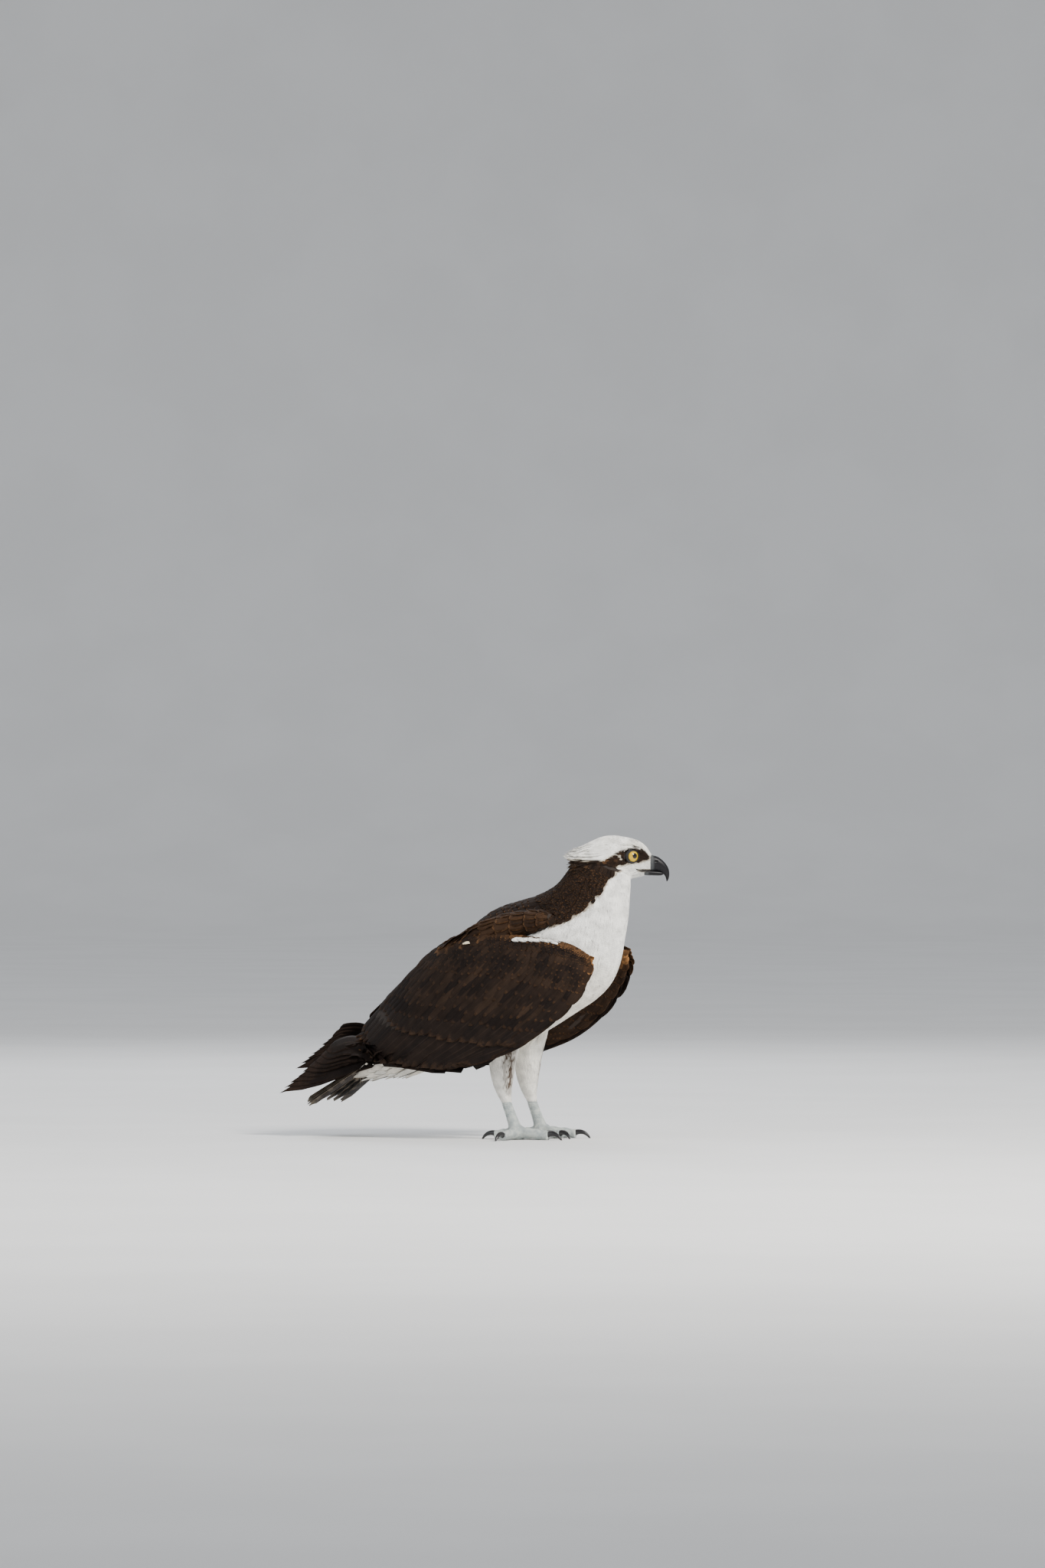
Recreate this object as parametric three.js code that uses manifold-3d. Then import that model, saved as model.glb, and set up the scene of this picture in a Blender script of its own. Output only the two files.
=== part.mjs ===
// A life-size osprey standing on level ground, its wings drooped a little and its head turned left.
// Millimetres, +Z up, +X the way the body faces, +Y the bird's left.
// The origin is on the ground under the middle.
import * as THREE from "three";
import { mergeVertices } from "three/addons/utils/BufferGeometryUtils.js";
import Module from "manifold-3d";

const wasm = await Module();
wasm.setup();

// Driving sizes
const ORIGIN_SHIFT = new THREE.Vector3(6.5, 0, 0);
const GAP = 0.3;
const RIGHT = -1;
const LEFT = 1;

const HEAD_PLACE = { x: 195, y: 14, z: 351, yawDegrees: 20 };
const EYE = {
  radius: 9.4,
  opening: 7.9,
  forward: -1,
  side: 14.4,
  aimForwardDegrees: 30,
  aimDownDegrees: 3,
};
const TAIL = { feathers: 12, reach: 203, spreadDegrees: 15, half: 13.5, thick: 0.75, step: 1.05 };
const UPPER_TAIL_COVERTS = { count: 4, x: -118, z: 121, fan: 24, length: 46, half: 12, dropDegrees: 38 };
const UNDER_TAIL_COVERTS = { count: 4, x: -104, z: 80, fan: 28, length: 40, half: 11, dropDegrees: 12 };
const WING_CORE = { thickShoulder: 12, thickTrailing: 4.2, reach: 0.84, columns: 10, rows: 5 };

// The tiers of the folded wing, coverts first.
// first, last and half are shares of the way back along the forearm.
// from and to are shares of the way from the forearm to the feather tips.
// heights are over the wing's face, root to tip.
const COVERT_HEIGHTS = [-2.2, 1.2, 1.6, 1.4];
const SECONDARY_HEIGHTS = [-2.1, -1.9, -0.5, 0];
const TIERS = [
  { count: 7, first: 0.08, last: 0.9, half: 0.083, from: 0.13, to: 0.44, heights: COVERT_HEIGHTS, tilt: 0.8 },
  { count: 8, first: 0.07, last: 0.93, half: 0.077, from: 0.4, to: 0.72, heights: COVERT_HEIGHTS, tilt: 0.8 },
  { count: 8, first: 0.07, last: 0.93, half: 0.077, from: 0.72, to: 1, heights: SECONDARY_HEIGHTS, tilt: 1 },
];
const PRIMARIES = { count: 6, half: 14.5, thick: 0.8, step: 1.2, depth: 4.5, arch: 20, bow: 13 };
const VANE_THICK = 0.8;
const LEFT_WING_LIFT = { all: 5, tip: 24, from: -90, to: -256 };

// Neck, trunk and the feathered root of the tail, front to back.
// x and z are the centre of each section in the middle plane.
// up and down are its reach towards the back and towards the belly.
const BODY = [
  { x: 170, z: 341, up: 34, down: 31, half: 26 },
  { x: 160, z: 318, up: 43, down: 42, half: 32 },
  { x: 141, z: 285, up: 50, down: 61, half: 39 },
  { x: 112, z: 248, up: 71, down: 83, half: 50 },
  { x: 72, z: 213, up: 88, down: 78, half: 58 },
  { x: 20, z: 178, up: 84, down: 71, half: 58 },
  { x: -35, z: 150, up: 70, down: 56, half: 48 },
  { x: -84, z: 127, up: 50, down: 46, half: 36 },
  { x: -124, z: 104, up: 30, down: 27, half: 26 },
  { x: -152, z: 86, up: 10, down: 9, half: 16 },
];

// The head along its own axis, measured from the point between the eyes.
const HEAD = [
  { x: -60, top: 6, bottom: -20, half: 17 },
  { x: -52, top: 16, bottom: -28, half: 23 },
  { x: -38, top: 24, bottom: -31, half: 26.5 },
  { x: -22, top: 26.5, bottom: -31, half: 26 },
  { x: -8, top: 24.5, bottom: -29, half: 23.5 },
  { x: 5, top: 21.5, bottom: -28, half: 19.5 },
  { x: 15, top: 16, bottom: -25.5, half: 15 },
  { x: 22, top: 9.5, bottom: -22, half: 11 },
  { x: 27, top: 1.5, bottom: -17, half: 7.6 },
];

// The bill in the head's frame, from its tip back into the face.
const UPPER_BILL = [
  { x: 44.4, z: -31.6, up: 0.6, down: 0.6, half: 0.5 },
  { x: 45, z: -28, up: 1.6, down: 1.7, half: 1.4 },
  { x: 44.6, z: -23.5, up: 3, down: 3, half: 2.5 },
  { x: 42.4, z: -18, up: 4.6, down: 5.2, half: 3.9 },
  { x: 38, z: -13, up: 6, down: 7.4, half: 5.2 },
  { x: 32, z: -9.6, up: 7.9, down: 9.3, half: 6.5 },
  { x: 26, z: -7.6, up: 8.6, down: 10.9, half: 7.6 },
  { x: 18, z: -6.5, up: 8.6, down: 11.5, half: 8.4 },
];
const LOWER_BILL = [
  { x: 40.2, z: -21.8, up: 0.6, down: 0.8, half: 1.3 },
  { x: 37, z: -21.6, up: 1.7, down: 2.6, half: 3.1 },
  { x: 30, z: -21, up: 2.4, down: 3.4, half: 5 },
  { x: 20, z: -20.2, up: 2.8, down: 3.8, half: 6.8 },
  { x: 10, z: -19.4, up: 2.8, down: 3.2, half: 8 },
];

// The feathered thigh and the bare shank of the right leg, downwards.
// fore is half the length fore and aft, side is half the width.
const THIGH = [
  { x: 40, y: -28, z: 168, fore: 34, side: 22 },
  { x: 42, y: -31, z: 132, fore: 27, side: 21 },
  { x: 42.5, y: -32, z: 104, fore: 19, side: 17.5 },
  { x: 42, y: -32, z: 80, fore: 15.5, side: 14.5 },
  { x: 43.5, y: -32, z: 62, fore: 11.5, side: 10.8 },
  { x: 46.5, y: -32, z: 50, fore: 8.4, side: 8 },
  { x: 49, y: -32, z: 44, fore: 7, side: 6.6 },
];
const SHANK = [
  { x: 46, y: -32, z: 52, fore: 6.4, side: 6 },
  { x: 50, y: -32, z: 40, fore: 6.6, side: 6 },
  { x: 54.5, y: -32, z: 28, fore: 7, side: 6.4 },
  { x: 58.5, y: -32, z: 17, fore: 8.4, side: 8 },
  { x: 61, y: -32, z: 8, fore: 10.5, side: 10.5 },
];
const FOOT = { x: 62, y: -32, z: 8.6, palm: 12, deep: 10, leftAhead: 10 };
const TOE = { radius: 6.2, lift: 5.6, sink: 0.8 };
const TOES = [
  { name: "1", headingDegrees: 176, length: 30 },
  { name: "2", headingDegrees: 32, length: 37 },
  { name: "3", headingDegrees: -6, length: 43 },
  { name: "4", headingDegrees: -98, length: 40 },
];
const CLAW = { radius: 3.7, bend: 14.5, sweepDegrees: 104, riseDegrees: 24 };

// The four edges of the right wing's outer face, seen folded.
// They run along the forearm, down the leading edge of the hand, down the innermost feathers over the back,
// and along the tips of the secondaries.
const WING_TOP = [[170, -76, 230], [146, -66, 243], [84, -55, 253], [20, -42, 257], [-28, -22, 249]];
const WING_FRONT = [[170, -76, 230], [174, -77, 210], [150, -86, 169], [95, -98, 125], [15, -92, 97]];
const WING_BACK = [[-28, -22, 249], [-69, -11, 225], [-123, -8, 171], [-160, -12, 128]];
const WING_TIPS = [[15, -92, 97], [-30, -78, 87], [-88, -66, 91], [-135, -46, 100], [-160, -12, 128]];
const WING_BULGE = 27;

// Where the body is parted: a point in the middle plane and the direction that the cut faces.
const CUTS = {
  throat: { x: 150, z: 309, aimX: 0.06, aimZ: 0.998 },
  breast: { x: 126, z: 265, aimX: 0.39, aimZ: 0.921 },
  rump: { x: -103, z: 116, aimX: 0.85, aimZ: 0.527 },
  ankle: { x: 57, z: 19, aimX: -0.35, aimZ: 0.937 },
};

// Where the lowest, longest primary and the highest, shortest one end.
const WING_TIP = { low: [-256, -34, 56], high: [-196, -20, 108] };

// The nape crest in rows from the crown down.
// x and z are where each row springs from the skull; fan and droop are how its locks lie.
const CREST_ROWS = [
  { count: 4, x: -44, z: 18, wide: 10, fan: 20, length: 28, droopDegrees: 14 },
  { count: 4, x: -50, z: 8, wide: 14, fan: 34, length: 24, droopDegrees: 10 },
  { count: 3, x: -50, z: -4, wide: 12, fan: 20, length: 16, droopDegrees: 24 },
];

// Scapulars: where each springs from the shoulder, in degrees along it and round it.
const SCAPULARS = [
  { backDegrees: 64, roundDegrees: 40, length: 46, half: 13 },
  { backDegrees: 92, roundDegrees: 4, length: 52, half: 13 },
  { backDegrees: 98, roundDegrees: 62, length: 54, half: 14 },
  { backDegrees: 122, roundDegrees: 10, length: 56, half: 13 },
  { backDegrees: 132, roundDegrees: 74, length: 58, half: 13 },
];
const SHOULDER = { x: 52, y: -36, z: 261, long: 74, wide: 21, high: 19, riseDegrees: 12, closeDegrees: 10 };

const degrees = THREE.MathUtils.degToRad;
const vec = (x, y, z) => new THREE.Vector3(x, y, z);
const curve = (points) => new THREE.CatmullRomCurve3(points.map((p) => vec(...p)), false, "centripetal");

// Solids from closed geometry, and geometry from solids

// A closed mesh as a solid with its faces turned outwards.
function solid(geometry) {
  const bare = geometry.clone();
  bare.deleteAttribute("normal");
  bare.deleteAttribute("uv");
  const merged = mergeVertices(bare, 1e-4);
  const vertProperties = new Float32Array(merged.attributes.position.array);
  const triVerts = new Uint32Array(merged.index.array);
  const made = new wasm.Manifold(new wasm.Mesh({ numProp: 3, vertProperties, triVerts }));
  if (made.volume() > 0) return made;
  return new wasm.Manifold(new wasm.Mesh({ numProp: 3, vertProperties, triVerts: triVerts.reverse() }));
}

function largest(body) {
  return body.decompose().reduce((best, piece) => (piece.volume() > best.volume() ? piece : best));
}

function geometryOf(body) {
  const mesh = body.getMesh();
  const position = new Float32Array(mesh.numVert * 3);
  for (let i = 0; i < mesh.numVert; i++) {
    position.set(mesh.vertProperties.subarray(i * mesh.numProp, i * mesh.numProp + 3), i * 3);
  }
  const geometry = new THREE.BufferGeometry();
  geometry.setAttribute("position", new THREE.BufferAttribute(position, 3));
  geometry.setIndex(new THREE.BufferAttribute(mesh.triVerts, 1));
  geometry.computeVertexNormals();
  return geometry;
}

function joinAll(bodies) {
  return bodies.reduce((sum, body) => sum.add(body));
}

// A closed skin over rings of equal count. turned[j] picks the other diagonal on strip j.
function skin(rings, turned = []) {
  const count = rings[0].length;
  const position = rings.flat().flatMap((p) => [p.x, p.y, p.z]);
  const index = [];
  for (let i = 0; i + 1 < rings.length; i++) {
    for (let j = 0; j < count; j++) {
      const a = i * count + j;
      const b = i * count + ((j + 1) % count);
      const c = a + count;
      const d = b + count;
      if (turned[j]) index.push(a, b, c, b, d, c);
      else index.push(a, b, d, a, d, c);
    }
  }
  const last = (rings.length - 1) * count;
  for (let j = 1; j + 1 < count; j++) {
    index.push(0, j + 1, j);
    index.push(last, last + j, last + j + 1);
  }
  const geometry = new THREE.BufferGeometry();
  geometry.setAttribute("position", new THREE.Float32BufferAttribute(position, 3));
  geometry.setIndex(index);
  return geometry;
}

// Reads a list of section sizes as smooth curves, one for each named size.
function smoothed(sections, steps) {
  const keys = Object.keys(sections[0]);
  const last = sections.length - 1;
  const valueAt = (key, t) => {
    const i = Math.min(Math.floor(t * last), last - 1);
    const f = t * last - i;
    const at = (n) => sections[THREE.MathUtils.clamp(n, 0, last)][key];
    const slopeIn = (at(i + 1) - at(i - 1)) / 2;
    const slopeOut = (at(i + 2) - at(i)) / 2;
    const rise = at(i + 1) - at(i);
    const square = f * f * (3 * rise - 2 * slopeIn - slopeOut);
    const cube = f ** 3 * (slopeIn + slopeOut - 2 * rise);
    return at(i) + f * slopeIn + square + cube;
  };
  return Array.from({ length: steps + 1 }, (_, n) =>
    Object.fromEntries(keys.map((key) => [key, valueAt(key, n / steps)])),
  );
}

// A body whose sections stand square to a line in the middle plane. grow widens every section.
function spineLoft(sections, { steps, around, grow = 0 }) {
  const line = smoothed(sections, steps);
  const rings = line.map((s, n) => {
    const before = line[Math.max(n - 1, 0)];
    const after = line[Math.min(n + 1, line.length - 1)];
    const along = vec(after.x - before.x, 0, after.z - before.z).normalize();
    const back = vec(along.z, 0, -along.x);
    return Array.from({ length: around }, (_, j) => {
      const angle = (2 * Math.PI * j) / around;
      const lift = Math.sin(angle);
      const reach = (lift > 0 ? s.up : s.down) + grow;
      return vec(s.x, 0, s.z)
        .addScaledVector(back, lift * reach)
        .add(vec(0, Math.cos(angle) * (s.half + grow), 0));
    });
  });
  return skin(rings);
}

// A body whose sections lie square to a level axis, from their top, bottom and half width.
function headLoft({ steps, around, grow = 0 }) {
  const rings = smoothed(HEAD, steps).map((s) => {
    const middle = (s.top + s.bottom) / 2;
    return Array.from({ length: around }, (_, j) => {
      const angle = (2 * Math.PI * j) / around;
      const height = (s.top - s.bottom) / 2 + grow;
      return vec(s.x, -Math.cos(angle) * (s.half + grow), middle + Math.sin(angle) * height);
    });
  });
  return skin(rings);
}

function legLoft(sections, { steps, around }) {
  const rings = smoothed(sections, steps).map((s) =>
    Array.from({ length: around }, (_, j) => {
      const angle = (-2 * Math.PI * j) / around;
      return vec(s.x + Math.cos(angle) * s.fore, s.y + Math.sin(angle) * s.side, s.z);
    }),
  );
  return skin(rings);
}

// A tapering round limb along a path, for toes and claws.
function limb(path, radiusAt, { steps, around }) {
  const side = path(1).sub(path(0)).cross(vec(0, 0, 1)).normalize();
  const rings = Array.from({ length: steps + 1 }, (_, n) => {
    const t = n / steps;
    const along = path(Math.min(t + 0.02, 1)).sub(path(Math.max(t - 0.02, 0))).normalize();
    const up = side.clone().cross(along);
    return Array.from({ length: around }, (_, j) => {
      const angle = (2 * Math.PI * j) / around;
      const radius = radiusAt(t);
      return path(t)
        .addScaledVector(side, Math.cos(angle) * radius)
        .addScaledVector(up, Math.sin(angle) * radius);
    });
  });
  return skin(rings);
}

// A feather's vane. edge(t, s) is a point on it, t from root to tip and s from -1 to 1 across.
// normal(t) faces out.
// Its edges are thick, its middle as much again and half, or as rib says.
const VANE_DIAGONALS = [false, true, false, false, true, false];
function vane({ stations, edge, normal, thick, rib = thick * 1.5 }) {
  const rings = stations.map((t) => {
    const out = normal(t);
    const taper = t > 0.98 ? 0.6 : 1;
    const at = (s, side) => edge(t, s).addScaledVector(out, (side * taper * (s === 0 ? rib : thick)) / 2);
    return [at(-1, -1), at(-1, 1), at(0, 1), at(1, 1), at(1, -1), at(0, -1)];
  });
  return skin(rings, VANE_DIAGONALS);
}

// How wide the vane is at each share of its length, for a short feather and for a folded primary.
const SHORT_VANE = new Map([[0, 0.6], [0.45, 1], [0.85, 0.9], [1, 0.35]]);
const PRIMARY_VANE = new Map([[0, 0.45], [0.2, 0.8], [0.5, 1], [0.85, 0.8], [1, 0.3]]);

// A feather that springs from root along a direction and droops towards its tip, its face turned outwards.
function plume({ root, along, out, length, half, droop, thick = VANE_THICK, rib }) {
  const across = out.clone().cross(along).normalize();
  const face = along.clone().cross(across).normalize();
  const edge = (t, s) =>
    root
      .clone()
      .addScaledVector(along, t * length)
      .addScaledVector(face, -droop * t * t)
      .addScaledVector(across, s * half * SHORT_VANE.get(t));
  return solid(vane({ stations: [...SHORT_VANE.keys()], edge, normal: () => face, thick, rib }));
}

function boxSolid(width, depth, height, matrix) {
  return solid(new THREE.BoxGeometry(width, depth, height).applyMatrix4(matrix));
}

// What is left of a body on either side of a cut, half the gap away from it.
function beyond(body, cut) {
  return body.trimByPlane([cut.aimX, 0, cut.aimZ], cut.x * cut.aimX + cut.z * cut.aimZ + GAP / 2);
}
function before(body, cut) {
  return body.trimByPlane([-cut.aimX, 0, -cut.aimZ], GAP / 2 - cut.x * cut.aimX - cut.z * cut.aimZ);
}

// Head and bill

const headMatrix = new THREE.Matrix4()
  .makeRotationZ(degrees(HEAD_PLACE.yawDegrees))
  .setPosition(HEAD_PLACE.x, HEAD_PLACE.y, HEAD_PLACE.z);

function eyeAim(side) {
  const forward = degrees(EYE.aimForwardDegrees);
  const down = degrees(EYE.aimDownDegrees);
  return vec(Math.sin(forward), side * Math.cos(forward) * Math.cos(down), -Math.sin(down)).normalize();
}

function eyeball(side, radius) {
  return solid(new THREE.SphereGeometry(radius, 16, 9).translate(EYE.forward, side * EYE.side, 0));
}

// The two lids as one ring round the opening of the eye.
function lids(side) {
  const aim = eyeAim(side);
  const setBack = Math.sqrt(EYE.radius ** 2 - EYE.opening ** 2);
  const turn = new THREE.Quaternion().setFromUnitVectors(vec(0, 0, 1), aim);
  const ring = new THREE.TorusGeometry(EYE.opening + 0.5, 1.25, 4, 12).applyQuaternion(turn);
  const centre = vec(EYE.forward, side * EYE.side, 0).addScaledVector(aim, setBack);
  return solid(ring.translate(centre.x, centre.y, centre.z));
}

function brow(side) {
  const ridge = new THREE.SphereGeometry(1, 8, 5).scale(13, 4.2, 3.2).rotateZ(side * degrees(-20));
  return solid(ridge.rotateY(degrees(8)).translate(4, side * 17.2, 9.6));
}

// One lock of the nape crest, rooted inside the skull and fanned out from the middle.
function crestLock(row, n) {
  const share = (n / (row.count - 1)) * 2 - 1;
  const swing = degrees(share * row.fan);
  const drop = degrees(row.droopDegrees + 6 * Math.sin(3.7 * n + row.x));
  const along = vec(-Math.cos(swing) * Math.cos(drop), Math.sin(swing), -Math.sin(drop)).normalize();
  const root = vec(row.x + 7 * share * share, share * row.wide, row.z - 3 * share * share);
  const length = row.length * (1 - 0.12 * Math.cos(5 * n + row.z));
  const out = vec(-0.35, share * 0.6, 1).normalize();
  return plume({ root, along, out, length, half: 6.5, droop: 3, thick: 0.8, rib: 5 });
}

function headSolid() {
  const pieces = [solid(headLoft({ steps: 14, around: 18 }))];
  for (const side of [RIGHT, LEFT]) pieces.push(lids(side), brow(side));
  for (const row of CREST_ROWS) {
    for (let n = 0; n < row.count; n++) pieces.push(crestLock(row, n));
  }
  return joinAll(pieces);
}

const headGrown = solid(headLoft({ steps: 14, around: 18, grow: GAP }));

function upperBill() {
  const bill = solid(spineLoft(UPPER_BILL, { steps: 12, around: 14 }));
  const nostril = (side) => {
    const slot = new THREE.SphereGeometry(1, 8, 6).scale(2.2, 1.6, 1.1);
    return solid(slot.rotateY(degrees(-25)).translate(31, side * 6.9, -7));
  };
  return bill.subtract(headGrown).subtract(nostril(RIGHT)).subtract(nostril(LEFT));
}

function lowerBill(upper) {
  const bill = solid(spineLoft(LOWER_BILL, { steps: 6, around: 12 }));
  return bill.subtract(headGrown).subtract(upper);
}

// Wings

// A patch filled between four edge curves, pushed outwards in its middle.
function wingFace(u, w) {
  const top = wingEdges.top.getPoint(u);
  const tips = wingEdges.tips.getPoint(u);
  const front = wingEdges.front.getPoint(w);
  const back = wingEdges.back.getPoint(w);
  const corners = [wingEdges.top.getPoint(0), wingEdges.top.getPoint(1), wingEdges.tips.getPoint(0)];
  const last = wingEdges.tips.getPoint(1);
  const point = top.multiplyScalar(1 - w).addScaledVector(tips, w);
  point.addScaledVector(front, 1 - u).addScaledVector(back, u);
  point.addScaledVector(corners[0], -(1 - u) * (1 - w)).addScaledVector(corners[1], -u * (1 - w));
  point.addScaledVector(corners[2], -(1 - u) * w).addScaledVector(last, -u * w);
  const swell = Math.max(Math.sin(Math.PI * u) * Math.sin(Math.PI * w), 0) ** 0.8;
  return point.add(vec(0, -0.95, 0.3).multiplyScalar(WING_BULGE * swell));
}

const wingEdges = {
  top: curve(WING_TOP),
  front: curve(WING_FRONT),
  back: curve(WING_BACK),
  tips: curve(WING_TIPS),
};

function outward(face, u, w) {
  const step = 0.02;
  const inside = (n) => THREE.MathUtils.clamp(n, step, 1 - step);
  const a = face(inside(u) + step, inside(w)).sub(face(inside(u) - step, inside(w)));
  const b = face(inside(u), inside(w) + step).sub(face(inside(u), inside(w) - step));
  const out = b.cross(a).normalize();
  return out.y > 0 ? out.negate() : out;
}

// The flesh and packed feathers of the folded wing as one curved slab.
function wingCore() {
  const { columns, rows, reach, thickShoulder, thickTrailing } = WING_CORE;
  const rings = [];
  for (let i = 0; i <= columns; i++) {
    const u = 0.015 + (i / columns) * 0.97;
    const outer = [];
    const inner = [];
    for (let j = 0; j <= rows; j++) {
      const w = 0.01 + (j / rows) * reach;
      const out = outward(wingFace, u, w);
      const thick = THREE.MathUtils.lerp(thickShoulder, thickTrailing, Math.min(w * 1.25, 1));
      outer.push(wingFace(u, w));
      inner.push(wingFace(u, w).addScaledVector(out, -thick));
    }
    rings.push([...outer, ...inner.reverse()]);
  }
  const turned = rings[0].map((_, j) => j > rows);
  return solid(skin(rings, turned));
}

// One feather of a tier, lying along the wing's face. Its lower edge rides over the feather below it.
function tierFeather(tier, n) {
  const middle = THREE.MathUtils.lerp(tier.first, tier.last, n / (tier.count - 1));
  const stations = [...SHORT_VANE.keys()];
  const uAt = (t, s) => THREE.MathUtils.clamp(middle + s * tier.half * SHORT_VANE.get(t), 0.004, 0.996);
  const wAt = (t) => THREE.MathUtils.lerp(tier.from, tier.to, t) - 0.012 * Math.sin(2.3 * n) ** 2 * t;
  const height = (t) => tier.heights[stations.indexOf(t)];
  const normal = (t) => outward(wingFace, middle, wAt(t));
  const edge = (t, s) => wingFace(uAt(t, s), wAt(t)).addScaledVector(normal(t), height(t) - s * tier.tilt);
  return solid(vane({ stations, edge, normal, thick: VANE_THICK, rib: VANE_THICK }));
}

// Lines from inside the wing, under the secondaries, to where the primaries end. share is 0 for the lowest.
function primaryLine(share) {
  const under = (u, w, depth) => wingFace(u, w).addScaledVector(outward(wingFace, u, w), -depth);
  const root = under(0.07 + 0.76 * share, 0.79, 2);
  const knee = under(0.08 + 0.8 * share, 0.95, PRIMARIES.depth);
  const tip = vec(...WING_TIP.low).lerp(vec(...WING_TIP.high), share);
  const bend = vec(0, PRIMARIES.bow * (1 - share), PRIMARIES.arch * (1 - share) + 4);
  const middle = knee.clone().lerp(tip, 0.5).add(bend);
  return new THREE.CatmullRomCurve3([root, knee, middle, tip], false, "centripetal");
}

// The curved face on which the primaries lie, carried on straight past the lowest and the highest.
function primaryFace(share, t) {
  const near = THREE.MathUtils.clamp(share, 0.02, 0.98);
  const at = (q) => primaryLine(q).getPoint(THREE.MathUtils.clamp(t, 0, 1));
  const slope = at(near + 0.02).sub(at(near - 0.02)).divideScalar(0.04);
  return at(near).addScaledVector(slope, share - near);
}

// One primary. Each lies a step further out than the one below it, except at their roots.
function primary(n) {
  const share = n / (PRIMARIES.count - 1);
  const spread = (t) => primaryFace(1, t).distanceTo(primaryFace(0, t));
  const normal = (t) => outward(primaryFace, share, t);
  const stack = (t) => PRIMARIES.step * (n - PRIMARIES.count + 1) * THREE.MathUtils.smoothstep(t, 0, 0.3);
  const across = (t, s) => share + (s * PRIMARIES.half * PRIMARY_VANE.get(t)) / spread(t);
  const edge = (t, s) => primaryFace(across(t, s), t).addScaledVector(normal(t), stack(t));
  const { thick } = PRIMARIES;
  return solid(vane({ stations: [...PRIMARY_VANE.keys()], edge, normal, thick, rib: thick }));
}

// The shoulder under the scapulars, which carries the wing on the trunk, and the scapulars on it.
const shoulderMatrix = new THREE.Matrix4()
  .makeRotationZ(-degrees(SHOULDER.closeDegrees))
  .multiply(new THREE.Matrix4().makeRotationY(-degrees(SHOULDER.riseDegrees)))
  .setPosition(SHOULDER.x, SHOULDER.y, SHOULDER.z);

function shoulder() {
  const mound = new THREE.SphereGeometry(1, 12, 7).rotateZ(Math.PI / 2);
  mound.scale(SHOULDER.long, SHOULDER.wide, SHOULDER.high);
  return solid(mound.applyMatrix4(shoulderMatrix));
}

function scapular({ backDegrees, roundDegrees, length, half }) {
  const back = degrees(backDegrees);
  const round = degrees(roundDegrees);
  const girth = vec(0, -Math.cos(round), Math.sin(round));
  const unit = vec(Math.cos(back), 0, 0).addScaledVector(girth, Math.sin(back));
  const size = vec(SHOULDER.long, SHOULDER.wide, SHOULDER.high);
  const out = unit.clone().divide(size).transformDirection(shoulderMatrix);
  const root = unit.multiply(size).applyMatrix4(shoulderMatrix).addScaledVector(out, -2.2);
  const lie = vec(-1, 0.02, -0.36).normalize();
  const along = lie.addScaledVector(out, -lie.dot(out) + 0.1).normalize();
  return plume({ root, along, out, length, half, droop: 5 });
}

// The left wing mirrors the right one and is carried a little higher, most of all at its tip.
function toLeft(point) {
  const back = THREE.MathUtils.smoothstep(-point.x, -LEFT_WING_LIFT.from, -LEFT_WING_LIFT.to);
  return vec(point.x, -point.y, point.z + LEFT_WING_LIFT.all + LEFT_WING_LIFT.tip * back);
}

function wingSolid(side) {
  const pieces = [wingCore(), shoulder(), ...SCAPULARS.map(scapular)];
  for (const tier of TIERS) {
    for (let n = 0; n < tier.count; n++) pieces.push(tierFeather(tier, n));
  }
  for (let n = 0; n < PRIMARIES.count; n++) pieces.push(primary(n));
  const right = joinAll(pieces);
  if (side === RIGHT) return right;
  const geometry = geometryOf(right);
  const position = geometry.attributes.position;
  for (let i = 0; i < position.count; i++) {
    const moved = toLeft(vec(0, 0, 0).fromBufferAttribute(position, i));
    position.setXYZ(i, moved.x, moved.y, moved.z);
  }
  return solid(geometry);
}

// Tail

const tailHub = vec(-55, 0, 156);
const tailDrop = degrees(35);

// One tail feather, fanned out from the hub. The middle pair lies on top.
function tailFeather(n) {
  const share = (n / (TAIL.feathers - 1)) * 2 - 1;
  const fan = degrees(share * TAIL.spreadDegrees);
  const level = Math.cos(fan);
  const along = vec(-level * Math.cos(tailDrop), Math.sin(fan), -level * Math.sin(tailDrop));
  const up = vec(-Math.sin(tailDrop), 0, Math.cos(tailDrop));
  const across = up.clone().cross(along).normalize();
  const rank = Math.round(Math.abs(share) * (TAIL.feathers - 1)) - (share < 0 ? 0 : 1);
  const reach = TAIL.reach * (1 - 0.03 * Math.abs(share));
  const start = 0.42 * TAIL.reach;
  const edge = (t, s) =>
    tailHub
      .clone()
      .addScaledVector(along, start + t * (reach - start))
      .addScaledVector(up, -TAIL.step * rank)
      .addScaledVector(across, s * TAIL.half * SHORT_VANE.get(t));
  const { thick } = TAIL;
  return solid(vane({ stations: [...SHORT_VANE.keys()], edge, normal: () => up, thick, rib: thick }));
}

// The tail's coverts, above it or below it.
function tailCovert(row, n, side) {
  const share = (n / (row.count - 1)) * 2 - 1;
  const swing = degrees(share * row.fan);
  const drop = degrees(row.dropDegrees + 3 * Math.sin(4 * n));
  const along = vec(-Math.cos(swing) * Math.cos(drop), Math.sin(swing), -Math.sin(drop)).normalize();
  const root = vec(row.x + 6 * share * share, share * 16, row.z - side * 6 * share * share);
  const out = vec(-0.3, share * 0.8, side).normalize();
  const length = row.length * (1 + 0.1 * Math.cos(3 * n));
  return plume({ root, along, out, length, half: row.half, droop: 2 });
}

function tailFeathers() {
  const rectrices = Array.from({ length: TAIL.feathers }, (_, n) => tailFeather(n));
  const coverts = (row, side) => Array.from({ length: row.count }, (_, n) => tailCovert(row, n, side));
  return [...rectrices, ...coverts(UPPER_TAIL_COVERTS, 1), ...coverts(UNDER_TAIL_COVERTS, -1)];
}

// Feet

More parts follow.
